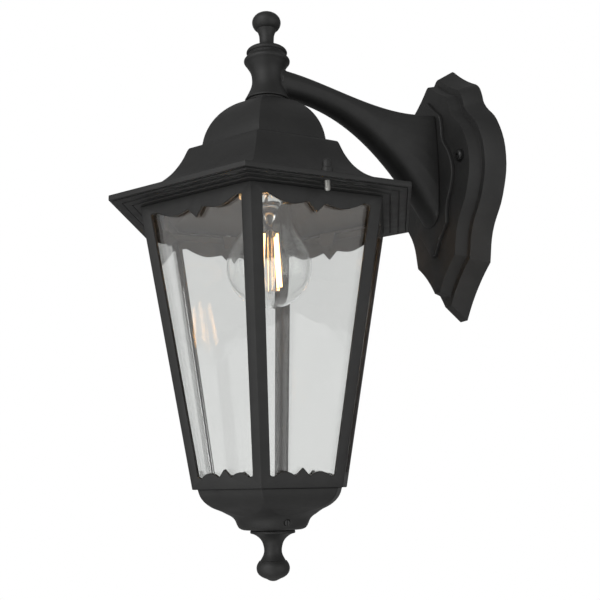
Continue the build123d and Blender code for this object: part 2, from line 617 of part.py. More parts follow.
def roof_casting():
    """The ogee roof: eave lip, flare, ledge and dome, hollow, with two eave bosses."""
    ledge_top = LIP_TOP_Z + LEDGE_RISE + LEDGE_SLOPE_RISE
    flare = roof_flare(0)
    brow = (LEDGE_FLAT - 0.9, LIP_TOP_Z + LEDGE_RISE + 1.3)
    dome_way = (DOME_WAY[0], LIP_TOP_Z + DOME_WAY[1])
    outer = [Line(*xz((0, LIP_LOW_Z), (EAVE_FLAT, LIP_LOW_Z))), Line(*xz((EAVE_FLAT, LIP_LOW_Z), flare[0])),
             curve(*flare), Line(*xz(flare[-1], brow)), Line(*xz(brow, (DOME_FLAT, ledge_top))),
             ThreePointArc(*xz((DOME_FLAT, ledge_top), dome_way, (CROWN_FLAT, CROWN_Z))),
             Line(*xz((CROWN_FLAT, CROWN_Z), (0, CROWN_Z))), Line(*xz((0, CROWN_Z), (0, LIP_LOW_Z)))]
    under = roof_flare(ROOF_WALL)
    lip_in = EAVE_FLAT - EAVE_LIP_WALL
    under[0] = (lip_in, under[0][1])
    inner_dome = DOME_FLAT - ROOF_WALL
    inner_ledge = (inner_dome, ledge_top - ROOF_WALL)
    inner_way = (DOME_WAY[0] - 0.72 * ROOF_WALL, LIP_TOP_Z + DOME_WAY[1] - 0.7 * ROOF_WALL)
    inner_crown = (CROWN_FLAT - 1, CROWN_Z - CROWN_THICK)
    floor_z = LIP_LOW_Z - 1
    inner = [Line(*xz((0, floor_z), (lip_in, floor_z))), Line(*xz((lip_in, floor_z), under[0])),
             curve(*under), Line(*xz(under[-1], inner_ledge)),
             ThreePointArc(*xz(inner_ledge, inner_way, inner_crown)),
             Line(*xz(inner_crown, (0, inner_crown[1]))), Line(*xz((0, inner_crown[1]), (0, floor_z)))]
    solid = mitred(make_face(outer))
    body = solid - mitred(make_face(inner))
    for side in ROOF_SCREW_SIDES:
        spot = Rot(0, 0, side) * Pos(ROOF_SCREW_FLAT, 0, 0)
        boss = disc(lip_in - ROOF_SCREW_FLAT + 0.5, HEAD_TOP_Z + SEAT, LIP_TOP_Z + 3)
        body += (spot * boss) & solid
        body += spot * disc(EAVE_PAD_R, LIP_TOP_Z, EAVE_PAD_Z)
        body -= spot * disc(ROOF_SCREW_R + SLIP, LIP_LOW_Z - 1, LIP_TOP_Z + 12)
    return body - disc(NIPPLE_R + SLIP, CROWN_Z - CROWN_THICK - 1, CROWN_Z + 1)


def roof_fixings():
    """Two screws that hold the cage up under the eave, and the domed nuts on top of them."""
    dome_z = EAVE_PAD_Z + CAP_NUT_FLANGE + CAP_NUT_NECK
    screws, nuts = [], []
    for side in ROOF_SCREW_SIDES:
        spot = Rot(0, 0, side) * Pos(ROOF_SCREW_FLAT, 0, 0)
        screws.append(spot * disc(ROOF_SCREW_R, STEP_Z[-1] - ROOF_SCREW_SHOWS, dome_z))
        flange = disc(CAP_NUT_FLANGE_R, EAVE_PAD_Z, EAVE_PAD_Z + CAP_NUT_FLANGE)
        flange = fillet(flange.edges().sort_by(Axis.Z)[-1], CAP_NUT_FLANGE * 0.4)
        nut = flange + disc(CAP_NUT_R, EAVE_PAD_Z, dome_z) + Pos(0, 0, dome_z) * Sphere(CAP_NUT_R)
        nuts.append(spot * (nut - disc(ROOF_SCREW_R + SLIP / 2, EAVE_PAD_Z - 1, dome_z)))
    return screws, nuts


def roof_hardware():
    """Nipple, its washer and nut under the crown, and the gasket under the hub."""
    gasket = ring(HUB_FOOT_R - 1.2, NIPPLE_R + SLIP, CROWN_Z, HUB_Z)
    nut_top = CROWN_Z - CROWN_THICK - 1.2
    washer = ring(11.0, NIPPLE_R + SLIP, nut_top, CROWN_Z - CROWN_THICK)
    nut = Pos(0, 0, nut_top - 5.0) * extrude(RegularPolygon(8.0, SIDES), amount=5.0)
    nut -= disc(NIPPLE_R + SLIP / 2, nut_top - 8, nut_top + 1)
    low = HOLDER_RIM_Z + HOLDER_HEIGHT - 10
    nipple = ring(NIPPLE_R, NIPPLE_BORE_R, low, HUB_Z + NIPPLE_THREAD - SEAT)
    return nipple, washer, nut, gasket


# ---------------------------------------------------------------- finials
def top_finial():
    """Ball finial on a dished foot, with a threaded spigot into the hub."""
    z = HUB_TOP_Z + FINIAL_WASHER_THICK
    top = z + FINIAL_HEIGHT
    ball_z = top - 7.6
    dish, neck, ball = FINIAL_DISH_R, FINIAL_NECK_R, FINIAL_BALL_R
    spigot = path((FINIAL_SPIGOT_R, HUB_TOP_Z - FINIAL_SPIGOT), (FINIAL_SPIGOT_R, z), (dish - 0.5, z),
                  (dish, z + 0.8), (dish, z + 1.8))
    foot = curve((dish, z + 1.8), (dish - 1.0, z + 3.3), (dish - 4.4, z + 4.9), (neck + 1.7, z + 5.9),
                 (neck + 0.4, z + 7.4))
    stalk = curve((neck + 0.4, z + 7.4), (neck, z + 12.4), (neck + 0.5, ball_z - 9.4),
                  (ball - 3.3, ball_z - 5.8))
    crease = Line(*xz((ball - 3.3, ball_z - 5.8), (ball - 2.7, ball_z - 5.8)))
    knob = curve((ball - 2.7, ball_z - 5.8), (ball - 0.6, ball_z - 3.0), (ball, ball_z),
                 (ball - 1.6, ball_z + 4.0), (ball - 5.7, ball_z + 6.9), (0, top),
                 tangents=[(0.9, 0, 1), (-1, 0, 0)])
    return turned(*spigot.edges(), foot, stalk, crease, knob)


def base_finial():
    """Pendant finial under the bowl: thin disc, neck and ball, with a threaded spigot."""
    z = -BOWL_DEPTH - BASE_WASHER_THICK
    low = z - BASE_FINIAL_HEIGHT
    ball_z = low + 7.6
    rim, neck, ball = BASE_FINIAL_DISC_R, BASE_FINIAL_NECK_R, BASE_FINIAL_BALL_R
    knob = curve((0, low), (ball - 6.6, low + 1.4), (ball - 1.3, ball_z - 3.4), (ball, ball_z + 0.6),
                 (ball - 2.0, ball_z + 5.8), tangents=[(1, 0, 0.1), (-0.8, 0, 1)])
    crease = Line(*xz((ball - 2.0, ball_z + 5.8), (ball - 2.6, ball_z + 5.8)))
    stalk = curve((ball - 2.6, ball_z + 5.8), (neck + 1.0, ball_z + 8.6), (neck, ball_z + 12.8),
                  (neck + 0.8, ball_z + 16.6), (neck + 3.4, z - 4.6), (rim - 2.6, z - 2.3))
    edge = path((rim - 2.6, z - 2.3), (rim, z - 1.6), (rim, z), (BASE_SPIGOT_R, z),
                (BASE_SPIGOT_R, z + BASE_WASHER_THICK + BASE_SPIGOT))
    return turned(knob, crease, stalk, *edge.edges())


# ---------------------------------------------------------------- cage
def panel_plane(depth):
    """Plane of one side: x along the side, y up the slope, at a depth behind the outer face."""
    lean = radians(LEAN)
    out = Vector(cos(lean), 0, -sin(lean))
    return Plane(origin=Vector(CAGE_RIM_FLAT, 0, 0) - out * depth, x_dir=(0, 1, 0), z_dir=out)


def up_slope(height):
    """Distance up the leaning side for an upright height."""
    return height / cos(radians(LEAN))


def half_side(height, depth=0.0):
    """Half the length of a side at a height, at a depth behind the outer face."""
    return inner_flat(height, depth) * tan(radians(HALF_ANGLE))


def post_edge(height):
    """Half width of the window at a height."""
    share = height / CAGE_FACE_HEIGHT
    return half_side(height) - POST_WIDTH_LOW - (POST_WIDTH_HIGH - POST_WIDTH_LOW) * share


def window():
    """One window's outline in its side's plane, with scalloped borders above and below."""
    def at(width, height):
        return (width, up_slope(height))
    low = LOWER_VALLEY + 1.0
    foot = post_edge(low)
    lobe_low = foot - 3.0
    crest_x = (POINT_HALF_WIDTH + lobe_low) / 2
    high = UPPER_CUSP - 1.0
    head = post_edge(high)
    cusp_x = head - 4.0
    sag_x = POINT_HALF_WIDTH + 0.46 * (cusp_x - POINT_HALF_WIDTH)
    valley_x = POINT_HALF_WIDTH - 0.8
    half = [
        Line(at(0, LOWER_PEAK), at(valley_x, LOWER_VALLEY + 0.2)),
        ThreePointArc(at(valley_x, LOWER_VALLEY + 0.2), at(crest_x, LOWER_CREST), at(lobe_low, LOWER_VALLEY)),
        Line(at(lobe_low, LOWER_VALLEY), at(foot, low)),
        Line(at(foot, low), at(head, high)),
        Line(at(head, high), at(cusp_x, UPPER_CUSP)),
        Spline(at(cusp_x, UPPER_CUSP), at(cusp_x - 7.5, UPPER_NOTCH - 0.4), at(sag_x, UPPER_SAG),
               at(POINT_HALF_WIDTH, UPPER_NOTCH)),
        Line(at(POINT_HALF_WIDTH, UPPER_NOTCH), at(0, UPPER_POINT)),
    ]
    other = [edge.mirror(Plane.YZ) for edge in half]
    return make_face(half + other)


def cage_shell(depth, low, high):
    """A tapered six-sided solid that follows the cage's faces at a depth behind them."""
    corners = []
    for height in (low, high):
        turn = Pos(0, 0, height) * Rot(0, 0, HALF_ANGLE)
        corners.append(turn * RegularPolygon(inner_flat(height, depth), SIDES, major_radius=False))
    return loft(corners, ruled=True)


def head_moulding():
    """Stepped moulding and upstand at the top of the cage."""
    inner = inner_flat(CAGE_FACE_HEIGHT, CAGE_WALL)
    steps = [(face_flat(CAGE_FACE_HEIGHT), STEP_Z[0])]
    for k, flat in enumerate(STEP_FLATS):
        steps.append((flat, STEP_Z[k]))
        if k + 1 < len(STEP_Z):
            steps.append((flat, STEP_Z[k + 1]))
    steps += [(STEP_FLATS[-1], HEAD_TOP_Z), (COLLAR_FLAT, HEAD_TOP_Z), (COLLAR_FLAT, COLLAR_TOP_Z),
              (inner, COLLAR_TOP_Z), (inner, STEP_Z[0])]
    return mitred(make_face(Polyline(*xz(*steps), close=True)))


def cage_frame():
    """The cage casting: posts, scalloped borders, floor flange, glazing groove and head moulding."""
    body = cage_shell(0, 0, CAGE_FACE_HEIGHT)
    body -= cage_shell(CAGE_WALL, FLOOR_THICK, CAGE_FACE_HEIGHT + 1)
    cutter = extrude(panel_plane(0) * window(), amount=2 * CAGE_WALL, both=True)
    for k in range(SIDES):
        body -= Rot(0, 0, k * 2 * HALF_ANGLE) * cutter
    lip_out = CAGE_WALL + GLASS_THICK + 2 * GLASS_PLAY
    lip_top = FLOOR_THICK + GROOVE_LIP_HEIGHT
    lip_in = lip_out + GROOVE_LIP
    body += cage_shell(lip_out, FLOOR_THICK - 1, lip_top) - cage_shell(lip_in, FLOOR_THICK - 2, lip_top + 1)
    opening = Rot(0, 0, HALF_ANGLE) * RegularPolygon(FLOOR_OPENING_FLAT, SIDES, major_radius=False)
    body -= extrude(Pos(0, 0, -1) * opening, amount=FLOOR_THICK + 2)
    body += head_moulding()
    for side in ROOF_SCREW_SIDES:
        body -= Rot(0, 0, side) * disc(ROOF_SCREW_R + CLEAR, STEP_Z[0], HEAD_TOP_Z + 1, ROOF_SCREW_FLAT)
    for k in range(3):
        turn = Rot(0, 0, 120 * k)
        body -= turn * Rot(0, 0, 60) * disc(BASE_SCREW_R + CLEAR, -1, FLOOR_THICK + 1, BASE_SCREW_RING_R)
        tapped_low = COLLAR_TOP_Z + RETAINER_THICK - RETAINER_SCREW - SEAT
        tapped = disc(BASE_SCREW_R, tapped_low, COLLAR_TOP_Z + 1, retainer_screw_flat())
        body -= turn * Rot(0, 0, 60) * tapped
    return body


def pane(k):
    """One glass pane, standing in the groove behind its window."""
    depth = CAGE_WALL + GLASS_PLAY
    low, high = FLOOR_THICK + SEAT, PANE_TOP_Z
    back = depth + GLASS_THICK
    wide_low = half_side(low, back) - 1.0
    wide_high = half_side(high, back) - 1.0
    points = [(-wide_low, up_slope(low)), (wide_low, up_slope(low)),
              (wide_high, up_slope(high)), (-wide_high, up_slope(high))]
    plate = extrude(panel_plane(back) * make_face(Polyline(*points, close=True)), amount=GLASS_THICK)
    return Rot(0, 0, k * 2 * HALF_ANGLE) * plate


def retainer_screw_flat():
    """Distance from the axis to the retainer's screws, in the middle of the upstand."""
    return (COLLAR_FLAT + inner_flat(CAGE_FACE_HEIGHT, CAGE_WALL)) / 2


def pane_retainer():
    """Sheet-steel ring on the upstand, with a tab turned down behind each pane."""
    tab_low = PANE_TOP_Z - RETAINER_OVERLAP
    back = inner_flat(tab_low, CAGE_WALL + GLASS_THICK + 2 * GLASS_PLAY) - RETAINER_THICK
    low = COLLAR_TOP_Z
    top = low + RETAINER_THICK
    points = [(COLLAR_FLAT - 0.5, low), (COLLAR_FLAT - 0.5, top), (back, top), (back, low)]
    body = mitred(make_face(Polyline(*xz(*points), close=True)))
    root, end = RETAINER_TAB_HALF, 0.7 * RETAINER_TAB_HALF
    outline = Polyline((back, root, top), (back, -root, top), (back, -end, tab_low), (back, end, tab_low),
                       close=True)
    tab = extrude(make_face(outline), amount=RETAINER_THICK, dir=(1, 0, 0))
    for k in range(SIDES):
        body += Rot(0, 0, 2 * HALF_ANGLE * k) * tab
    for k in range(3):
        hole = disc(BASE_SCREW_R + CLEAR, low - 1, top + 1, retainer_screw_flat())
        body -= Rot(0, 0, 60 + 120 * k) * hole
    return body


def small_screw(x, seat, length, turn):
    """A small pan-head screw, head up, at a distance x from the axis."""
    head = disc(2 * BASE_SCREW_R, seat, seat + 1.3 * BASE_SCREW_R, x)
    head = fillet(head.edges().sort_by(Axis.Z)[-1], 0.5 * BASE_SCREW_R)
    screw = head + disc(BASE_SCREW_R - SLIP / 2, seat - length, seat, x)
    return Rot(0, 0, turn) * screw


# ---------------------------------------------------------------- base
def bowl_line():
    """Through-points (corner radius, flat, drop) of the bowl, six-sided above and round below."""
    rim = BOWL_RIM_FLAT / FLAT
    foot = BOWL_FOOT_R
    depth = BOWL_DEPTH
    flat = BOWL_RIM_FLAT
    corner = [(rim, 0), (0.957 * rim, -0.19 * depth), (0.845 * rim, -0.39 * depth),
              (0.609 * rim, -0.58 * depth), (1.224 * foot, -0.72 * depth), (1.11 * foot, -0.9 * depth),
              (1.055 * foot, -0.955 * depth), (0.94 * foot, -depth)]
    side = [(flat, 0), (0.962 * flat, -0.19 * depth), (0.86 * flat, -0.39 * depth),
            (0.67 * flat, -0.58 * depth), (1.28 * foot, -0.72 * depth), (1.17 * foot, -0.9 * depth)]
    return corner, side


def base_bowl():
    """The bowl casting: six-sided rim that melts into a round foot, hollow, with bosses."""
    corner, side = bowl_line()
    floor_z = -BOWL_DEPTH
    round_form = turned(Line(*xz((0, floor_z), corner[-1])), curve(*reversed(corner)))
    edges = [curve(*side), Line(*xz(side[-1], (side[-1][0], floor_z - 1))),
             Line(*xz((side[-1][0], floor_z - 1), (0, floor_z - 1))), Line(*xz((0, floor_z - 1), (0, 0))),
             Line(*xz((0, 0), side[0]))]
    form = round_form & mitred(make_face(edges))
    hollow = [(0, floor_z + BOWL_WALL), (BOWL_FOOT_R - 1.2, floor_z + BOWL_WALL)]
    hollow += [(flat - BOWL_WALL - 0.3, drop + 0.4) for flat, drop in reversed(corner_safe(corner, side))]
    hollow += [(0, 0.4)]
    body = form - revolve(make_face(Polyline(*xz(*hollow), close=True)), Axis.Z)
    body += disc(BOWL_BOSS_R, floor_z, floor_z + BOWL_BOSS_HEIGHT)
    body -= disc(BASE_SPIGOT_R + SLIP, floor_z - 1, floor_z + BASE_SPIGOT + 1)
    for k in range(3):
        turn = Rot(0, 0, 60 + 120 * k)
        body += (turn * disc(2.4 * BASE_SCREW_R, -10, 0, BASE_SCREW_RING_R)) & form
        body -= turn * disc(BASE_SCREW_R, -7.5, 1, BASE_SCREW_RING_R)
    reach = BOWL_FOOT_R + 8
    body -= Pos(0, 0, -DRAIN_SCREW_DROP) * Rot(0, 90, 0) * disc(DRAIN_SCREW_R + SLIP / 2, 12, reach)
    body -= Pos(0, 0, -DRAIN_SCREW_DROP) * Rot(0, 90, 0) * disc(DRAIN_RECESS_R, DRAIN_FACE_R, reach)
    return body


def corner_safe(corner, side):
    """Smaller of the corner and side distances at each drop, so that the wall stays whole."""
    return [(min(radius, flat), drop) for (radius, drop), (flat, _) in zip(corner, side)]


def drain_screw():
    """Small screw in the side of the bowl that closes its drain hole."""
    seat = DRAIN_FACE_R + 0.1
    screw = disc(DRAIN_HEAD_R, seat, seat + 0.9) + disc(DRAIN_SCREW_R, seat - 5.5, seat)
    screw -= Pos(0, 0, seat + 0.9) * Box(2 * DRAIN_HEAD_R + 1, 0.7, 0.9)
    return Pos(0, 0, -DRAIN_SCREW_DROP) * Rot(0, 90, 0) * screw


# ---------------------------------------------------------------- lampholder
def lampholder():
    """Holder cap on the nipple, ceramic body with a flared rim, thread shell and centre contact."""
    top = HOLDER_RIM_Z + HOLDER_HEIGHT
    joint = HOLDER_RIM_Z + HOLDER_BODY
    rise = top - joint
    inside = HOLDER_BODY_R - HOLDER_WALL
    collar = NIPPLE_R + 2.8
    low, shoulder, neck = joint + 0.16 * rise, joint + 0.47 * rise, joint + 0.66 * rise
    cap = turned(*path((HOLDER_BODY_R, joint), (HOLDER_BODY_R, low)).edges(),
                 curve((HOLDER_BODY_R, low), (HOLDER_BODY_R - 2.5, shoulder), (collar + 1.2, neck)),
                 *path((collar + 1.2, neck), (collar, neck + 0.5), (collar, top)).edges())
    crest, ceiling_edge = joint + 0.53 * rise, joint + 0.39 * rise
    cap -= turned(*path((inside, joint - 1), (inside, low)).edges(),
                  curve((inside, low), (inside - 2.5, ceiling_edge), (NIPPLE_R + 1, crest)))
    cap -= disc(NIPPLE_R + SLIP / 2, low, top + 1)
    rim = path((HOLDER_RIM_R - 0.8, HOLDER_RIM_Z), (HOLDER_RIM_R, HOLDER_RIM_Z + 0.8),
               (HOLDER_RIM_R, HOLDER_RIM_Z + HOLDER_RIM),
               (HOLDER_BODY_R, HOLDER_RIM_Z + 1.8 * HOLDER_RIM), (HOLDER_BODY_R, joint))
    body = turned(*rim.edges())
    ceiling = LAMP_TIP_Z + 2.2
    body -= disc(HOLDER_RIM_R - HOLDER_RIM_WALL, HOLDER_RIM_Z - 1, HOLDER_RIM_Z + HOLDER_RECESS)
    body -= disc(SHELL_R + SHELL_WALL + SLIP / 2, HOLDER_RIM_Z - 1, ceiling)
    body -= disc(CONTACT_STEM_R + SLIP, LAMP_TIP_Z, joint + 1)
    shell_low = LAMP_CAP_Z + 3.0
    shell = ring(SHELL_R + SHELL_WALL, SHELL_R, shell_low, shell_low + SHELL_HEIGHT)
    contact = disc(5.5, LAMP_TIP_Z + SEAT + 0.6, ceiling) + disc(3.0, LAMP_TIP_Z + SEAT, LAMP_TIP_Z + 1.0)
    contact += disc(CONTACT_STEM_R, LAMP_TIP_Z + 1.0, joint - 2)
    return cap, body, shell, contact


# ---------------------------------------------------------------- lamp
def lamp_profile(shift):
    """Edges of the lamp's glass from its bottom to its neck, drawn in by a shift."""
    globe, neck = LAMP_GLOBE_R - shift, LAMP_NECK_R - shift
    start, low = radians(33), radians(-35)
    join = (globe * cos(start), LAMP_CENTRE_Z + globe * sin(start))
    side = (globe * cos(low), LAMP_CENTRE_Z + globe * sin(low))
    belly = ThreePointArc(*xz((0, LAMP_CENTRE_Z - globe), side, join))
    rise, swell = LAMP_CAP_Z - join[1], join[0] - neck
    waist = (neck + 0.42 * swell, join[1] + 0.32 * rise)
    throat = (neck + 0.145 * swell, join[1] + 0.68 * rise)
    leave = (-sin(start), 0, cos(start))
    return belly, curve(join, waist, throat, (neck, LAMP_CAP_Z), tangents=[leave, (0, 0, 1)])


def lamp():
    """Glass, cap, insulator, tip contact and stem of the lamp."""
    glass = turned(*lamp_profile(0)) - turned(*lamp_profile(LAMP_GLASS))
    low, top = LAMP_CAP_Z, LAMP_CAP_Z + LAMP_CAP_HEIGHT
    collar, bore, mouth = LAMP_NECK_R + 0.1, LAMP_CAP_R - LAMP_CAP_WALL, LAMP_CAP_R - 3.4
    tip_stem = LAMP_CONTACT_R - 2.5
    skirt = path((collar, low), (collar, low + 1.2), (LAMP_CAP_R, low + 2.6), (LAMP_CAP_R, top),
                 (LAMP_CAP_R - 2.2, top + 1.6))
    cap = turned(*skirt.edges())
    cap -= turned(*path((bore, low - 1), (bore, top - 0.4), (bore - 2.0, top + 1.0)).edges())
    cap -= disc(mouth, top, top + 3)
    cone = path((mouth, top + 0.4), (mouth, top + 1.6), (LAMP_CONTACT_R + 1.2, LAMP_TIP_Z - 1.2))
    insulator = turned(*cone.edges()) - disc(tip_stem, top - 2, LAMP_TIP_Z)
    tip = disc(LAMP_CONTACT_R, LAMP_TIP_Z - 1.2, LAMP_TIP_Z) + disc(tip_stem, top - 0.5, LAMP_TIP_Z - 1)
    stem_r, flare_z = LAMP_STEM_R, FILAMENT_HIGH_Z + 6
    seal = (LAMP_NECK_R - LAMP_GLASS, low - 0.8)
    stem = turned(*path((stem_r, FILAMENT_LOW_Z - 3), (stem_r, flare_z)).edges(),
                  curve((stem_r, flare_z), (2.2 * stem_r, flare_z + 5), (3.8 * stem_r, flare_z + 13), seal),
                  *path(seal, (seal[0], low)).edges())
    return glass, cap, insulator, tip, stem


def filament_ends(k):
    """Lower and upper end of one filament."""
    turn = radians(FILAMENT_TURN + 360 / FILAMENTS * k)
    low = (FILAMENT_RING_LOW * cos(turn), FILAMENT_RING_LOW * sin(turn), FILAMENT_LOW_Z)
    high = (FILAMENT_RING_HIGH * cos(turn), FILAMENT_RING_HIGH * sin(turn), FILAMENT_HIGH_Z)
    return low, high


def rod(start, finish, radius):
    """A round rod between two points."""
    line = Line(start, finish)
    return sweep(Plane(origin=start, z_dir=line % 0) * Circle(radius), path=line)


def filaments():
    """The light strips and the wires that hold them off the stem."""
    strips, wires = [], []
    for k in range(FILAMENTS):
        low, high = filament_ends(k)
        hook_low = (0.12 * low[0], 0.12 * low[1], low[2] - 1.5)
        hook_high = (0.15 * high[0], 0.15 * high[1], high[2] + 3.5)
        ends = [rod(low, hook_low, LAMP_WIRE_R), rod(high, hook_high, LAMP_WIRE_R)]
        strips.append(rod(low, high, FILAMENT_R) - ends)
        wires += ends
    return strips, wires


# ---------------------------------------------------------------- nodes
def group(shapes):
    """Several separate solids in one node."""
    return Compound(children=[s for shape in shapes for s in shape.solids()])


def lantern(*shapes):
    """Shapes drawn about the lantern's axis, moved to their place."""
    return group([LANTERN * shape for shape in shapes])


def nodes():
    """Every node's shape, by name."""
    plate_screws, plate_washers = plate_fixings()
    block, wire_screws, block_screw = terminal_block()
    earth_screw, earth_washer = earth_fixing()
    arm_screws, arm_washers = arm_fixings()
    screws_up, cap_nuts = roof_fixings()
    nipple, nipple_washer, nipple_nut, hub_gasket = roof_hardware()
    holder_cap, holder_body, shell, holder_contact = lampholder()
    glass, lamp_cap, insulator, tip, stem = lamp()
    strips, wires = filaments()
    stem -= wires
    seat = COLLAR_TOP_Z + RETAINER_THICK
    corners = [60 + 120 * k for k in range(3)]
    retainer_screws = [small_screw(retainer_screw_flat(), seat, RETAINER_SCREW, turn) for turn in corners]
    base_screws = [small_screw(BASE_SCREW_RING_R, FLOOR_THICK, BASE_SCREW, turn) for turn in corners]
    top_washer = ring(HUB_TOP_R - 0.4, FINIAL_SPIGOT_R + SLIP, HUB_TOP_Z, HUB_TOP_Z + FINIAL_WASHER_THICK)
    base_washer = ring(BASE_WASHER_R, BASE_SPIGOT_R + SLIP, -BOWL_DEPTH - BASE_WASHER_THICK, -BOWL_DEPTH)
    found = {
        "wall_plate": wall_plate(),
        "wall_gasket": wall_gasket(),
        "mounting_strap": mounting_strap(),
        "plate_screws": group(plate_screws),
        "plate_washers": group(plate_washers),
        "terminal_block": block,
        "terminal_screws": group(wire_screws),
        "block_screw": block_screw,
        "earth_screw": earth_screw,
        "earth_washer": earth_washer,
        "cable_grommet": cable_grommet(),
        "supply_lead": supply_lead(),
        "arm": arm_casting(),
        "arm_screws": group(arm_screws),
        "arm_washers": group(arm_washers),
        "nipple": lantern(nipple),
        "nipple_washer": lantern(nipple_washer),
        "nipple_nut": lantern(nipple_nut),
        "hub_gasket": lantern(hub_gasket),
        "roof": lantern(roof_casting()),
        "roof_screws": lantern(*screws_up),
        "cap_nuts": lantern(*cap_nuts),
        "holder_cap": lantern(holder_cap),
        "holder_body": lantern(holder_body),
        "thread_shell": lantern(shell),
        "holder_contact": lantern(holder_contact),
        "finial_washer": lantern(top_washer),
        "top_finial": lantern(top_finial()),
        "lamp_tip": lantern(tip),
        "lamp_insulator": lantern(insulator),
        "lamp_cap": lantern(lamp_cap),
        "lamp_glass": lantern(glass),
        "lamp_stem": lantern(stem),
        "lamp_filaments": lantern(*strips),
        "lamp_wires": lantern(*wires),
        "cage_frame": lantern(cage_frame()),
        "pane_retainer": lantern(pane_retainer()),
        "retainer_screws": lantern(*retainer_screws),
        "base_bowl": lantern(base_bowl()),
        "base_screws": lantern(*base_screws),
        "drain_screw": lantern(drain_screw()),
        "base_washer": lantern(base_washer),
        "base_finial": lantern(base_finial()),
    }
    for k in range(SIDES):
        found[f"pane_{k + 1}"] = lantern(pane(k))
    return found


def main():
    """Writes one STEP file for each node."""
    os.makedirs("parts", exist_ok=True)
    for name, shape in nodes().items():
        export_step(shape, f"parts/{name}.step")


main()
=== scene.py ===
import logging
import math
from contextlib import contextmanager
from dataclasses import dataclass
from enum import Enum
from typing import Callable, Iterator, Sequence

import bmesh
import bpy
from mathutils import Matrix, Vector

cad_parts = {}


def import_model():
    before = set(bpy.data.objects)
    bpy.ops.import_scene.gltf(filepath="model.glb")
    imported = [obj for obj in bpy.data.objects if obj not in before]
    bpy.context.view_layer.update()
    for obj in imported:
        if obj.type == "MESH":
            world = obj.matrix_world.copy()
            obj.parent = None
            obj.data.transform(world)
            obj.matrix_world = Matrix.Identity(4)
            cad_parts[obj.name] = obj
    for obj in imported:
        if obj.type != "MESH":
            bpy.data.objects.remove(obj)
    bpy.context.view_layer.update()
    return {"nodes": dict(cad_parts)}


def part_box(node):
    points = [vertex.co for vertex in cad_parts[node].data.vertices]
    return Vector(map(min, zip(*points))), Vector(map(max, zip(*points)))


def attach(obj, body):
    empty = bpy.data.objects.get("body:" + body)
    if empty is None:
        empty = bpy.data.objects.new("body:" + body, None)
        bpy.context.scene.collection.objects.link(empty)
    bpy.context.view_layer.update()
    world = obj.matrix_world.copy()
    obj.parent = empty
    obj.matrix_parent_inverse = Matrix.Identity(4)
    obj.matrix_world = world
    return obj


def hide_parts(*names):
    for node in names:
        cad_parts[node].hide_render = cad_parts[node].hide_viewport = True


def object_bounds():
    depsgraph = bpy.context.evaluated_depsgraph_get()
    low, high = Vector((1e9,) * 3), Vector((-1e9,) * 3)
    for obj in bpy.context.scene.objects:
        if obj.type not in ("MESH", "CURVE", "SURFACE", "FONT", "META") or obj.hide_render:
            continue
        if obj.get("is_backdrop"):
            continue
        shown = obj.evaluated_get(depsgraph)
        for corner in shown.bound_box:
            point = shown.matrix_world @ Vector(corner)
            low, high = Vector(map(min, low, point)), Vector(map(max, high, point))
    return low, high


# A hexagonal wall lantern in black powder-coated cast aluminium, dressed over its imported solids.
# +Y points into the wall and +Z up. Lantern parts are drawn in millimetres about their own upright
# axis, with height 0 at the cage's bottom rim, and are then hung in their place.

MM = 0.001
MERGE = 1e-6                         # metres; points closer than this are one point
SIDES = 6
FLAT = math.cos(math.pi / SIDES)     # distance to a flat over distance to a corner
CORNER_TURN = math.pi / SIDES        # a corner stands this far round from the side that faces +X
QUARTER_TURN = math.pi / 2
ROUND = 96                           # steps around a turned piece that shows
LAMP_PITCH = 3.629                   # of the lamp's thread

Point = tuple[float, float]
Triple = tuple[float, float, float]
Piece = bpy.types.Object
Look = bpy.types.Material
Socket = bpy.types.NodeSocket
Tree = bpy.types.NodeTree
Node = bpy.types.Node


class Bend(Enum):
    """How a drawn line passes one of its points."""

    SMOOTH = "AUTO"
    SHARP = "VECTOR"


class Pick(Enum):
    """What is selected in a mesh."""

    POINTS = "VERT"
    EDGES = "EDGE"


class Body(Enum):
    """The bodies that the drawn pieces ride on."""

    WALL = "wall_fixture"
    CAGE = "cage"
    LAMP = "lamp"
    TOP_KNOB = "top_knob"
    BASE_KNOB = "base_knob"


class Slot(Enum):
    """The record's names for the finishes."""

    PAINT = "black_paint"
    SCREW = "black_screw"
    ZINC = "zinc_steel"
    BRASS = "brass"
    LAMP_METAL = "lamp_metal"
    BLACK_GLASS = "black_glass"
    CLEAR_GLASS = "clear_glass"
    LAMP_GLASS = "lamp_glass"
    FILAMENT = "filament"
    HOLDER = "cream_holder"
    PLASTIC = "white_plastic"
    LEAD = "white_lead"
    RUBBER = "black_rubber"


# ---------------------------------------------------------------- lines
@dataclass(frozen=True)
class Knot:
    """One point of a drawn line, in millimetres, and how the line passes it."""

    across: float
    up: float
    bend: Bend


def smooth(*points: Point) -> list[Knot]:
    """Knots that a line passes smoothly."""
    return [Knot(across, up, Bend.SMOOTH) for across, up in points]


def sharp(*points: Point) -> list[Knot]:
    """Knots where a line has a corner."""
    return [Knot(across, up, Bend.SHARP) for across, up in points]


def mirrored(knots: Sequence[Knot]) -> list[Knot]:
    """The knots on the other side of the axis, in the opposite order."""
    return [Knot(-k.across, k.up, k.bend) for k in reversed(knots)]


def ball(middle: float, radius: float, *degrees: float) -> list[Point]:
    """Points at angles above the level around a ball on the axis, from its middle's height and radius."""
    turns = [math.radians(t) for t in degrees]
    return [(radius * math.cos(t), middle + radius * math.sin(t)) for t in turns]


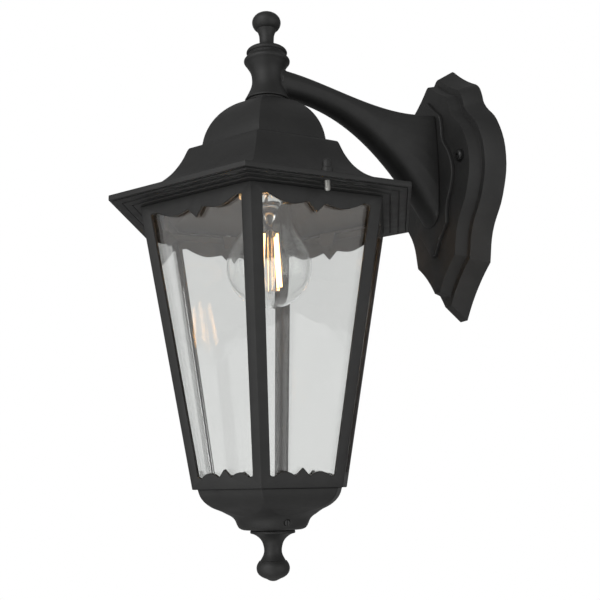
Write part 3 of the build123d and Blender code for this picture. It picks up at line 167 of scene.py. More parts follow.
def arc(start: Point, way: Point, end: Point, parts: int = 6) -> list[Knot]:
    """Knots along the circle through three points, with corners at its ends.

    Args:
        start: first end of the arc.
        way: a point that the arc passes.
        end: last end of the arc.
        parts: equal parts that the arc is divided into.

    Returns:
        The knots from start to end.
    """
    (ax, ay), (bx, by), (cx, cy) = start, way, end
    across = 2 * (ax * (by - cy) + bx * (cy - ay) + cx * (ay - by))
    a2, b2, c2 = ax * ax + ay * ay, bx * bx + by * by, cx * cx + cy * cy
    x0 = (a2 * (by - cy) + b2 * (cy - ay) + c2 * (ay - by)) / across
    y0 = (a2 * (cx - bx) + b2 * (ax - cx) + c2 * (bx - ax)) / across
    first, middle, last = (math.atan2(y - y0, x - x0) for x, y in (start, way, end))
    sweep = (last - first) % math.tau
    if (middle - first) % math.tau > sweep:
        sweep -= math.tau
    radius = math.hypot(ax - x0, ay - y0)
    turns = [first + sweep * k / parts for k in range(1, parts)]
    inner = [(x0 + radius * math.cos(t), y0 + radius * math.sin(t)) for t in turns]
    return sharp(start) + smooth(*inner) + sharp(end)


# ---------------------------------------------------------------- the bench: selecting and shaping
def clear_selection() -> None:
    """Leave edit mode and deselect every object."""
    if bpy.context.object is not None and bpy.context.object.mode != "OBJECT":
        bpy.ops.object.mode_set(mode="OBJECT")
    bpy.ops.object.select_all(action="DESELECT")


def take(piece: Piece) -> None:
    """Make a piece the only one selected, and the active one.

    Args:
        piece: the piece.
    """
    clear_selection()
    piece.select_set(True)
    bpy.context.view_layer.objects.active = piece


def place(piece: Piece) -> Piece:
    """Put a piece's place, turn and scale into its mesh.

    Args:
        piece: the piece.

    Returns:
        The piece.
    """
    take(piece)
    bpy.ops.object.transform_apply(location=True, rotation=True, scale=True)
    return piece


def move(piece: Piece, x: float = 0.0, y: float = 0.0, z: float = 0.0, turn: float = 0.0,
         axis: str = "Z") -> Piece:
    """Turn a piece about an axis through the origin, and then shift it.

    Args:
        piece: the piece, which has no place or turn of its own yet.
        x: shift along X in millimetres.
        y: shift along Y.
        z: shift upwards.
        turn: angle of the turn.
        axis: name of the axis that it turns about.

    Returns:
        The piece.
    """
    piece.matrix_world = Matrix.Translation((x * MM, y * MM, z * MM)) @ Matrix.Rotation(turn, 4, axis)
    return place(piece)


@contextmanager
def editing(piece: Piece) -> Iterator[None]:
    """Work on a piece in edit mode, with all of it selected at first.

    Args:
        piece: the piece to edit.

    Returns:
        A context that leaves edit mode at its end.
    """
    take(piece)
    bpy.ops.object.mode_set(mode="EDIT")
    bpy.ops.mesh.select_all(action="SELECT")
    yield
    bpy.ops.object.mode_set(mode="OBJECT")


def choose(piece: Piece, pick: Pick, test: Callable[[object], bool]) -> None:
    """Select only the points or edges of a piece in edit mode that pass a test.

    Args:
        piece: the piece in edit mode.
        pick: what is selected.
        test: says whether one of them is wanted.
    """
    bpy.ops.mesh.select_mode(type=pick.value)
    bpy.ops.mesh.select_all(action="DESELECT")
    mesh = bmesh.from_edit_mesh(piece.data)
    for item in mesh.verts if pick is Pick.POINTS else mesh.edges:
        if test(item):
            item.select_set(True)
    mesh.select_flush_mode()
    bmesh.update_edit_mesh(piece.data)


def face_outwards() -> None:
    """Turn all faces of the piece in edit mode outwards."""
    bpy.ops.mesh.select_all(action="SELECT")
    bpy.ops.mesh.normals_make_consistent(inside=False)


def tidy(piece: Piece, reach: float = MERGE) -> None:
    """Merge points that lie together and turn the faces outwards.

    Args:
        piece: the piece.
        reach: distance in metres within which points become one.
    """
    with editing(piece):
        bpy.ops.mesh.remove_doubles(threshold=reach)
        face_outwards()


def close_up(piece: Piece) -> None:
    """Fill a piece's open ends and turn its faces outwards.

    Args:
        piece: the piece.
    """
    with editing(piece):
        bpy.ops.mesh.fill_holes(sides=0)
        face_outwards()


def trim(piece: Piece, x: float, y: float) -> None:
    """Cut away what lies beyond an upright plane through the origin, towards X and Y."""
    with editing(piece):
        bpy.ops.mesh.bisect(plane_co=(0.0, 0.0, 0.0), plane_no=(x, y, 0.0), clear_outer=True)


def draw(name: str, knots: Sequence[Knot], closed: bool = False, steps: int = 6) -> Piece:
    """Draw a line in the XZ plane and turn it into edges.

    Args:
        name: name of the new piece.
        knots: the line's points.
        closed: whether the line runs back to its first point.
        steps: edges from one knot to the next where the line bends.

    Returns:
        A piece that has only the line's edges.
    """
    clear_selection()
    bpy.ops.curve.primitive_bezier_curve_add(location=(0.0, 0.0, 0.0))
    line = bpy.context.object
    line.name = name
    line.data.resolution_u = steps
    spline = line.data.splines[0]
    spline.bezier_points.add(len(knots) - 2)
    spline.use_cyclic_u = closed
    for point, knot in zip(spline.bezier_points, knots):
        point.co = (knot.across * MM, 0.0, knot.up * MM)
    for point, knot in zip(spline.bezier_points, knots):
        point.handle_left_type = point.handle_right_type = knot.bend.value
    bpy.ops.object.convert(target="MESH")
    return bpy.context.object


def slab(name: str, knots: Sequence[Knot], thick: float, steps: int = 6) -> Piece:
    """Fill a closed line and give it a thickness towards +Y.

    Args:
        name: name of the new piece.
        knots: the line's points.
        thick: its thickness in millimetres.
        steps: edges between knots where the line bends.

    Returns:
        The slab.
    """
    piece = draw(name, knots, True, steps)
    with editing(piece):
        bpy.ops.mesh.remove_doubles(threshold=MERGE)
        bpy.ops.mesh.edge_face_add()
        bpy.ops.mesh.extrude_region_move(TRANSFORM_OT_translate={"value": (0.0, thick * MM, 0.0)})
        face_outwards()
    return piece


def turned(name: str, knots: Sequence[Knot], around: int = 72, closed: bool = False, steps: int = 6,
           start: float = 0.0) -> Piece:
    """Carry a drawn line round the upright axis.

    Args:
        name: name of the new piece.
        knots: the line, as distances from the axis and heights.
        around: steps of a whole turn.
        closed: whether the line is a closed one.
        steps: edges between knots where the line bends.
        start: angle at which the line stands before it is carried round.

    Returns:
        The turned piece, with its faces outwards.
    """
    piece = move(draw(name, knots, closed, steps), turn=start)
    with editing(piece):
        bpy.ops.mesh.spin(steps=around, angle=math.tau, center=(0.0, 0.0, 0.0), axis=(0.0, 0.0, 1.0))
    tidy(piece)
    return piece


def six_sided(name: str, knots: Sequence[Knot], closed: bool = True) -> Piece:
    """Carry a line, as distances to a flat, round six mitred sides."""
    corners = [Knot(k.across / FLAT, k.up, k.bend) for k in knots]
    return turned(name, corners, SIDES, closed, start=CORNER_TURN)


def bar(name: str, radius: float, low: float, high: float, x: float = 0.0, around: int = 48) -> Piece:
    """An upright round bar between two heights.

    Args:
        name: name of the new piece.
        radius: its radius in millimetres.
        low: height of its foot.
        high: height of its top.
        x: distance of its axis from the origin.
        around: its number of sides.

    Returns:
        The bar.
    """
    clear_selection()
    bpy.ops.mesh.primitive_cylinder_add(vertices=around, radius=radius * MM, depth=(high - low) * MM)
    bpy.context.object.name = name
    return move(bpy.context.object, x=x, z=(low + high) / 2)


def modify(piece: Piece, kind: str, **settings: object) -> None:
    """Add a modifier with its settings and apply it.

    Args:
        piece: the piece.
        kind: the modifier's kind.
        settings: its settings.
    """
    take(piece)
    modifier = piece.modifiers.new(kind.title(), kind)
    for key, value in settings.items():
        setattr(modifier, key, value)
    bpy.ops.object.modifier_apply(modifier=modifier.name)


def soften(piece: Piece, width: float, angle: float = 30.0, segments: int = 2) -> None:
    """Round a piece's edges, and keep its flat faces flat in the light.

    Args:
        piece: the piece.
        width: width of the rounding in millimetres.
        angle: least angle in degrees between two faces for their edge to be rounded.
        segments: faces across the rounding.
    """
    modify(piece, "BEVEL", width=width * MM, segments=segments, limit_method="ANGLE",
           angle_limit=math.radians(angle), use_clamp_overlap=True, miter_outer="MITER_ARC")


def thicken(piece: Piece, wall: float, even: bool = True) -> None:
    """Give a shell a wall inwards, in millimetres."""
    modify(piece, "SOLIDIFY", thickness=wall * MM, offset=-1.0, use_even_offset=even)


def cast(piece: Piece, grain: float) -> None:
    """Melt a piece's parts into one skin with faces of a size in millimetres."""
    modify(piece, "REMESH", mode="VOXEL", voxel_size=grain * MM, adaptivity=0.0)


def cut(piece: Piece, tool: Piece, operation: str = "DIFFERENCE") -> None:
    """Cut a piece with a tool, or join or intersect them, and throw the tool away."""
    modify(piece, "BOOLEAN", object=tool, operation=operation, solver="EXACT")
    bpy.data.objects.remove(tool)


def join(name: str, pieces: Sequence[Piece]) -> Piece:
    """Join pieces into one.

    Args:
        name: name of the joined piece.
        pieces: two or more pieces; the first takes in the others.

    Returns:
        The joined piece.
    """
    take(pieces[0])
    for piece in pieces:
        piece.select_set(True)
    bpy.ops.object.join()
    pieces[0].name = name
    return pieces[0]


def loft(name: str, rings: Sequence[Piece]) -> Piece:
    """Join closed outlines by faces from each to the next.

    Args:
        name: name of the new piece.
        rings: the outlines in their order.

    Returns:
        The shell, open at both ends.
    """
    shell = join(name, rings)
    with editing(shell):
        bpy.ops.mesh.bridge_edge_loops(type="SINGLE")
    return shell


def copy_of(piece: Piece, name: str, turn: float = 0.0, x: float = 0.0) -> Piece:
    """A copy of a piece with its own mesh.

    Args:
        piece: the piece to copy.
        name: name of the copy.
        turn: how far it is turned about the upright axis.
        x: how far it is then shifted along X.

    Returns:
        The copy.
    """
    take(piece)
    bpy.ops.object.duplicate(linked=False)
    bpy.context.object.name = name
    return move(bpy.context.object, x=x, turn=turn)


def pair(name: str, piece: Piece, distance: float) -> Piece:
    """Two copies of a piece, at a distance on both sides of the axis, as one piece.

    Args:
        name: name of the joined copies.
        piece: the piece on the axis, which is used up.
        distance: distance along X from the axis to each copy.

    Returns:
        The joined copies.
    """
    twins = [copy_of(piece, f"{name}_{side}", x=side * distance) for side in (1, -1)]
    bpy.data.objects.remove(piece)
    return join(name, twins)


def thread(name: str, radius: float, rise: float, low: float, high: float, pitch: float,
           around: int = 40) -> Piece:
    """The ridge of a screw thread.

    Args:
        name: name of the new piece.
        radius: radius at the foot of the ridge.
        rise: height of the ridge, outwards.
        low: lowest height of the thread.
        high: highest height of the thread.
        pitch: rise of one turn.
        around: steps of one turn.

    Returns:
        A closed helical ridge.
    """
    half, root = 0.46 * pitch, radius - 0.3 * rise
    line = sharp((root, low), (radius, low)) + smooth((radius + rise, low + half)) \
        + sharp((radius, low + 2 * half), (root, low + 2 * half))
    ridge = draw(name, line, closed=True, steps=4)
    turns = max(1, int((high - low) / pitch - 1))
    modify(ridge, "SCREW", axis="Z", angle=math.tau, screw_offset=pitch * MM, iterations=turns, steps=around,
           render_steps=around, use_merge_vertices=True, merge_threshold=MERGE)
    close_up(ridge)
    tidy(ridge)
    return ridge


# ---------------------------------------------------------------- finishes
def feed(tree: Tree, node: Node, **inputs: object) -> Node:
    """Link or set inputs of a node.

    Args:
        tree: the node tree.
        node: the node.
        inputs: for each input, in small letters and with low lines, a socket to link or a value to set.

    Returns:
        The node.
    """
    for key, value in inputs.items():
        entry = node.inputs[key.replace("_", " ").title().replace("Ior", "IOR")]
        if isinstance(value, Socket):
            tree.links.new(value, entry)
        else:
            entry.default_value = value
    return node


def add_node(tree: Tree, kind: str, **inputs: object) -> Node:
    """Add a node of a kind, with inputs that are linked or set."""
    return feed(tree, tree.nodes.new(kind), **inputs)


def blend(tree: Tree, lit: Node, white: Node, output: Node) -> None:
    """Show one shader where the eye looks, straight or through glass, and another one to all other rays.

    Args:
        tree: the node tree.
        lit: the shader for all other rays.
        white: the shader that the eye gets.
        output: the tree's output.
    """
    path = add_node(tree, "ShaderNodeLightPath")
    seen = add_node(tree, "ShaderNodeMath")
    seen.operation = "MAXIMUM"
    mix = add_node(tree, "ShaderNodeMixShader", fac=seen.outputs[0])
    for start, entry in ((path.outputs["Is Camera Ray"], seen.inputs[0]),
                         (path.outputs["Is Transmission Ray"], seen.inputs[1]),
                         (lit.outputs[0], mix.inputs[1]), (white.outputs[0], mix.inputs[2]),
                         (mix.outputs[0], output.inputs["Surface"])):
        tree.links.new(start, entry)


class Shader:
    """A new node material whose parts are added one by one."""

    def __init__(self, name: str) -> None:
        """Start a material that has one surface shader.

        Args:
            name: the material's name.
        """
        self.look = bpy.data.materials.new(name)
        self.look.use_nodes = True
        self.tree = self.look.node_tree
        self.tree.nodes.clear()
        self.surface = self.add("ShaderNodeBsdfPrincipled")
        self.output = self.add("ShaderNodeOutputMaterial", surface=self.surface.outputs[0])
        self.where = self.add("ShaderNodeTexCoord").outputs["Object"]

    def add(self, kind: str, **inputs: object) -> Node:
        """Add a node to the material."""
        return add_node(self.tree, kind, **inputs)

    def wear(self, **inputs: object) -> None:
        """Link or set inputs of the surface."""
        feed(self.tree, self.surface, **inputs)

    def noise(self, size: float, detail: float = 2.0, stretch: Triple = (1.0, 1.0, 1.0)) -> Socket:
        """A soft random pattern on the piece.

        Args:
            size: size of its spots in metres.
            detail: how much finer detail it has.
            stretch: scale along each direction.

        Returns:
            The socket of its value.
        """
        mapping = self.add("ShaderNodeMapping", vector=self.where, scale=stretch)
        return self.add("ShaderNodeTexNoise", vector=mapping.outputs[0], scale=1.0 / size,
                        detail=detail).outputs["Fac"]

    def coloured(self, value: Socket, dark: Triple, light: Triple) -> None:
        """Let a pattern choose the base colour.

        Args:
            value: the pattern.
            dark: the colour where it is low.
            light: the colour where it is high.
        """
        ramp = self.add("ShaderNodeValToRGB", fac=value)
        for stop, position, colour in zip(ramp.color_ramp.elements, (0.3, 0.7), (dark, light)):
            stop.position, stop.color = position, (*colour, 1.0)
        self.wear(base_color=ramp.outputs["Color"])

    def rough(self, value: Socket, low: float, high: float) -> None:
        """Let a pattern vary the roughness.

        Args:
            value: the pattern.
            low: the roughness where it is low.
            high: the roughness where it is high.
        """
        span = {"from_min": 0.3, "from_max": 0.7, "to_min": low, "to_max": high}
        ranged = self.add("ShaderNodeMapRange", value=value, **span)
        self.wear(roughness=ranged.outputs["Result"])

    def bumps(self, value: Socket, height: float, strength: float = 1.0,
              **under: Socket) -> Socket:
        """Raise a pattern as small bumps.

        Args:
            value: the pattern.
            height: height of the bumps in metres.
            strength: share of the effect.
            under: the normal of bumps that these lie on.

        Returns:
            The bumped normal, which the surface also gets.
        """
        bump = self.add("ShaderNodeBump", height=value, distance=height, strength=strength, **under)
        self.wear(normal=bump.outputs["Normal"])
        return bump.outputs["Normal"]


@dataclass(frozen=True)
class Finish:
    """A finish with mottled colour, uneven gloss and a fine grain."""

    name: str
    dark: Triple
    light: Triple
    shine: Point
    patch: float = 0.02
    grain: float = 0.0008
    relief: float = 0.00002
    metallic: float = 0.0
    stretch: Triple = (1.0, 1.0, 1.0)

    def look(self) -> Look:
        """Build the finish's material.

        Returns:
            The material.
        """
        shader = Shader(self.name)
        patches = shader.noise(self.patch, 3.0)
        grain = shader.noise(self.grain, 2.0, self.stretch)
        shader.coloured(patches, self.dark, self.light)
        shader.rough(grain if self.metallic else patches, *self.shine)
        shader.bumps(grain, self.relief)
        shader.wear(metallic=self.metallic)
        return shader.look


@dataclass(frozen=True)
class PowderCoat(Finish):
    """Black powder coat: a soft orange-peel skin over a cast surface."""

    peel: float = 0.0035
    peel_relief: float = 0.00004

    def look(self) -> Look:
        """Build the paint, with its peel under the fine grain.

        Returns:
            The material.
        """
        shader = Shader(self.name)
        shader.coloured(shader.noise(self.patch, 4.0), self.dark, self.light)
        shader.rough(shader.noise(self.patch * 0.4, 3.0), *self.shine)
        peel = shader.bumps(shader.noise(self.peel, 1.0), self.peel_relief, 0.7)
        shader.bumps(shader.noise(self.grain, 2.0), self.relief, 0.8, normal=peel)
        return shader.look


@dataclass(frozen=True)
class Glass:
    """Clear glass with a faint tint and slightly uneven faces."""

    name: str
    tint: Triple
    wave: float
    wave_relief: float
    ior: float = 1.5

    def look(self) -> Look:
        """Build the glass.

        Returns:
            The material.
        """
        shader = Shader(self.name)
        wave = shader.noise(self.wave, 1.0)
        shader.coloured(wave, self.tint, tuple(min(1.0, v * 1.02) for v in self.tint))
        shader.bumps(wave, self.wave_relief, 0.4)
        shader.wear(transmission_weight=1.0, ior=self.ior, roughness=0.0)
        return shader.look


@dataclass(frozen=True)
class GlowingStrip:
    """Phosphor coat of a light strip that is switched on."""

    name: str
    colour: Triple
    glow: Triple
    strength: float

    def look(self) -> Look:
        """Build the glowing coat.

        Returns:
            The material.
        """
        shader = Shader(self.name)
        beads = shader.noise(0.0012, 2.0)
        shader.coloured(beads, self.colour, tuple(min(1.0, 1.3 * v) for v in self.colour))
        shader.rough(beads, 0.5, 0.7)
        shader.bumps(beads, 0.00008)
        shader.wear(emission_color=(*self.glow, 1.0), emission_strength=self.strength)
        return shader.look


FINISHES = {
    Slot.PAINT: PowderCoat("black_powder_coat", (0.0075, 0.0075, 0.0072), (0.0115, 0.0115, 0.011),
                           (0.5, 0.58)),
    Slot.SCREW: PowderCoat("black_screw_coat", (0.007, 0.007, 0.007), (0.012, 0.012, 0.0115), (0.3, 0.4),
                           peel=0.0015, peel_relief=0.00001),
    Slot.ZINC: Finish("bright_zinc", (0.42, 0.42, 0.40), (0.58, 0.57, 0.54), (0.24, 0.4), 0.006, 0.0006,
                      0.000006, 1.0, (1.0, 1.0, 6.0)),
    Slot.BRASS: Finish("brass", (0.62, 0.43, 0.16), (0.76, 0.56, 0.24), (0.2, 0.34), 0.008, 0.0005,
                       0.000006, 1.0, (1.0, 1.0, 8.0)),
    Slot.LAMP_METAL: Finish("nickelled_brass", (0.56, 0.54, 0.50), (0.70, 0.68, 0.64), (0.18, 0.3), 0.006,
                            0.0005, 0.000004, 1.0, (1.0, 1.0, 8.0)),
    Slot.BLACK_GLASS: Finish("black_vitrite", (0.006, 0.006, 0.007), (0.014, 0.013, 0.015), (0.06, 0.16),
                             grain=0.002, relief=0.00001),
    Slot.CLEAR_GLASS: Glass("clear_pane_glass", (0.765, 0.772, 0.765), 0.06, 0.00002),
    Slot.LAMP_GLASS: Glass("lamp_glass", (0.96, 0.965, 0.96), 0.02, 0.00001, 1.47),
    Slot.FILAMENT: GlowingStrip("glowing_strip", (0.75, 0.5, 0.16), (1.0, 0.6, 0.27), 5.0),
    Slot.HOLDER: Finish("cream_ceramic", (0.52, 0.43, 0.24), (0.58, 0.49, 0.30), (0.35, 0.5), grain=0.0015,
                        relief=0.000015),
    Slot.PLASTIC: Finish("white_plastic", (0.66, 0.66, 0.63), (0.74, 0.74, 0.71), (0.4, 0.5)),
    Slot.LEAD: Finish("white_lead_sheath", (0.62, 0.61, 0.58), (0.70, 0.69, 0.66), (0.45, 0.55),
                      grain=0.0012),
    Slot.RUBBER: Finish("black_rubber", (0.012, 0.012, 0.012), (0.024, 0.024, 0.023), (0.65, 0.8),
                        grain=0.0007, relief=0.00006),
}

STAYING = {
    Slot.RUBBER: ("wall_gasket", "cable_grommet", "hub_gasket", "finial_washer", "base_washer"),
    Slot.ZINC: ("mounting_strap", "earth_washer", "arm_screws", "arm_washers", "block_screw", "nipple",
                "nipple_washer", "nipple_nut", "retainer_screws", "base_screws", "lamp_wires"),
    Slot.PAINT: ("pane_retainer",),
    Slot.SCREW: ("plate_washers", "drain_screw"),
    Slot.PLASTIC: ("terminal_block",),
    Slot.BRASS: ("terminal_screws", "earth_screw", "thread_shell", "holder_contact"),
    Slot.LEAD: ("supply_lead",),
    Slot.HOLDER: ("holder_cap",),
    Slot.LAMP_METAL: ("lamp_tip",),
    Slot.BLACK_GLASS: ("lamp_insulator",),
    Slot.LAMP_GLASS: ("lamp_stem",),
}


def dress_staying(frame: dict, looks: dict[Slot, Look]) -> None:
    """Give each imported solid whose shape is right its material.

    Args:
        looks: the material of each finish.
    """
    for slot, names in STAYING.items():
        for name in names:
            for material_slot in frame["nodes"][name].material_slots:
                material_slot.material = looks[slot]
            logging.info("%s stays, in %s", name, slot.value)


# ---------------------------------------------------------------- place of the lantern
@dataclass(frozen=True)
class Hanging:
    """Where the lantern hangs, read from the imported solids: all in millimetres."""

    out: float          # from the wall to the lantern's axis
    rim: float          # height of the cage's rim

    @classmethod
    def from_frame(cls) -> "Hanging":
        """Read the axis from the top finial and the rim from the cage."""
        low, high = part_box("top_finial")
        return cls(-(low.y + high.y) / 2 / MM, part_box("cage_frame")[0].z / MM)

    def hang(self, piece: Piece) -> Piece:
        """Move a piece from the lantern's own axis to its place."""
        return move(piece, y=-self.out, z=self.rim)


@dataclass
class Assembly:
    """A group of pieces that hangs on the lantern and wears its finishes."""

    hanging: Hanging
    looks: dict[Slot, Look]

    def show(self, piece: Piece, body: Body, slot: Slot, node: str, crease: float = 32.0) -> None:
        """Dress a finished piece and hand it to the body that it rides on.

        Args:
            piece: the finished piece, in its place.
            body: the body that carries it.
            slot: its finish.
            node: the solid that it stands for.
            crease: angle in degrees above which two faces meet in a crease.
        """
        take(piece)
        piece.data.materials.clear()
        piece.data.materials.append(self.looks[slot])
        bpy.ops.object.shade_smooth_by_angle(angle=math.radians(crease))
        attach(piece, body.value)
        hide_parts(node)
        logging.info("%s: %d faces on %s", piece.name, len(piece.data.polygons), body.value)

    def show_hung(self, piece: Piece, body: Body, slot: Slot, node: str, crease: float = 32.0) -> None:
        """Hang a piece that stands about the lantern's own axis, and then show it."""
        self.show(self.hanging.hang(piece), body, slot, node, crease)


# ---------------------------------------------------------------- wall plate
@dataclass(frozen=True)
class Wave:
    """A wavy outline, the same on the left and right, and the tiers that repeat it."""

    apex: float                  # height of the top point
    tip: float                   # height of the bottom point
    half: tuple[Point, ...]      # points of the right half, from the top down
    tiers: tuple[Point, ...]     # draw-in and depth of each tier, from the wall outwards


@dataclass
class WallPlate(Assembly):
    """The wavy wall plate: two drafted tiers and a raised pad, hollow behind."""

    plate: Wave = Wave(87.5, -121.5,
                       ((15.5, 75.0), (37.2, 61.0), (41.6, 44.8), (56.6, 25.5), (64.8, -5.0), (58.2, -33.5),
                        (43.4, -58.0), (38.2, -80.5), (18.6, -99.5)),
                       ((0.0, 0.0), (7.0, 14.0), (11.2, 14.0), (13.2, 23.5)))
    pad: Wave = Wave(56.5, -69.0,
                     ((9.0, 48.0), (19.4, 39.0), (20.6, 20.0), (28.0, 7.0), (32.2, -6.5), (28.6, -21.5),
                      (22.4, -33.5), (21.0, -47.5), (10.8, -58.0)),
                     ((0.0, 23.0), (0.4, 26.5)))
    wall: float = 3.0
    shoulder_round: float = 9.0
    apex_round: float = 8.0
    apex_rise: float = 1.6
    tip_drop: float = 6.6
    curve_share: float = 0.8          # of a run, at most, that a rounded corner takes up
    plate_edge: float = 0.9
    pad_edge: float = 0.8
    edge_angle: float = 25.0

    def inset(self, points: Sequence[Point], distance: float) -> list[Point]:
        """Points of a closed outline drawn in by a distance.

        Args:
            points: the outline's points, clockwise.
            distance: how far it is drawn in.

        Returns:
            The moved points.
        """
        moved = []
        for k, point in enumerate(points):
            at, before, after = (Vector(p) for p in (point, points[k - 1], points[(k + 1) % len(points)]))
            run_in, run_out = (at - before).normalized(), (after - at).normalized()
            normal_in, normal_out = Vector((run_in.y, -run_in.x)), Vector((run_out.y, -run_out.x))
            moved.append(tuple(at + (normal_in + normal_out) * distance / (1 + normal_in.dot(normal_out))))
        return moved

    def rounded(self, before: Knot, corner: Knot, after: Knot, radius: float) -> list[Knot]:
        """Three knots that pass a corner in a small curve.

        Args:
            before: the knot before the corner.
            corner: the corner.
            after: the knot after it.
            radius: how far from the corner the curve starts and ends.

        Returns:
            The knots.
        """
        at = Vector((corner.across, corner.up))
        into, out = (Vector((k.across, k.up)) - at for k in (before, after))
        start, end = (at + run.normalized() * min(radius, self.curve_share * run.length)
                      for run in (into, out))
        return smooth(tuple(start), tuple((start + end) / 4 + at / 2), tuple(end))

    def outline(self, wave: Wave, draw_in: float, depth: float) -> Piece:
        """One closed outline of the plate.

        Args:
            wave: its wavy line.
            draw_in: how far it is drawn in.
            depth: its depth in front of the wall.

        Returns:
            The outline's edges.
        """
        ring = self.inset([(0.0, wave.apex + self.apex_rise), *wave.half, (0.0, wave.tip - self.tip_drop),
                           *[(-x, z) for x, z in reversed(wave.half)]], draw_in)
        low = len(wave.half) + 1
        top_arc, low_arc = arc(*ring[:3]), arc(*ring[low - 2:low + 1])
        chin = low_arc[-2]
        shoulder = self.rounded(top_arc[-2], top_arc[-1], Knot(*ring[3], Bend.SMOOTH), self.shoulder_round)
        right = top_arc[1:-1] + shoulder + smooth(*ring[3:low - 2]) + low_arc[:-2]
        right += sharp((chin.across, chin.up))
        left = mirrored(right)
        knots = self.rounded(left[-1], top_arc[0], right[0], self.apex_round) + right + left
        return move(draw("plate_outline", knots, closed=True, steps=5), y=-depth)

    def shell(self, name: str, wave: Wave) -> Piece:
        """A shell through a wave's tiers, closed in front.

        Args:
            name: name of the new piece.
            wave: the outline and its tiers.

        Returns:
            The shell.
        """
        shell = loft(name, [self.outline(wave, *tier) for tier in wave.tiers])
        front = -wave.tiers[-1][1] * MM
        with editing(shell):
            choose(shell, Pick.EDGES, lambda e: all(abs(v.co.y - front) < MERGE for v in e.verts))
            bpy.ops.mesh.edge_face_add()
            face_outwards()
        return shell

    def build(self) -> None:
        """Build the casting, keep its back in the wall's plane and dress it."""
        plate = self.shell("wall_plate_casting", self.plate)
        thicken(plate, self.wall, even=False)
        with editing(plate):
            choose(plate, Pick.POINTS, lambda v: v.co.y > 0)
            bpy.ops.transform.resize(value=(1.0, 0.0, 1.0), center_override=(0.0, 0.0, 0.0))
        pad = self.shell("plate_pad", self.pad)
        close_up(pad)
        soften(plate, self.plate_edge, self.edge_angle, 3)
        soften(pad, self.pad_edge, self.edge_angle, 3)
        self.show(join("wall_plate_casting", [plate, pad]), Body.WALL, Slot.PAINT, "wall_plate")


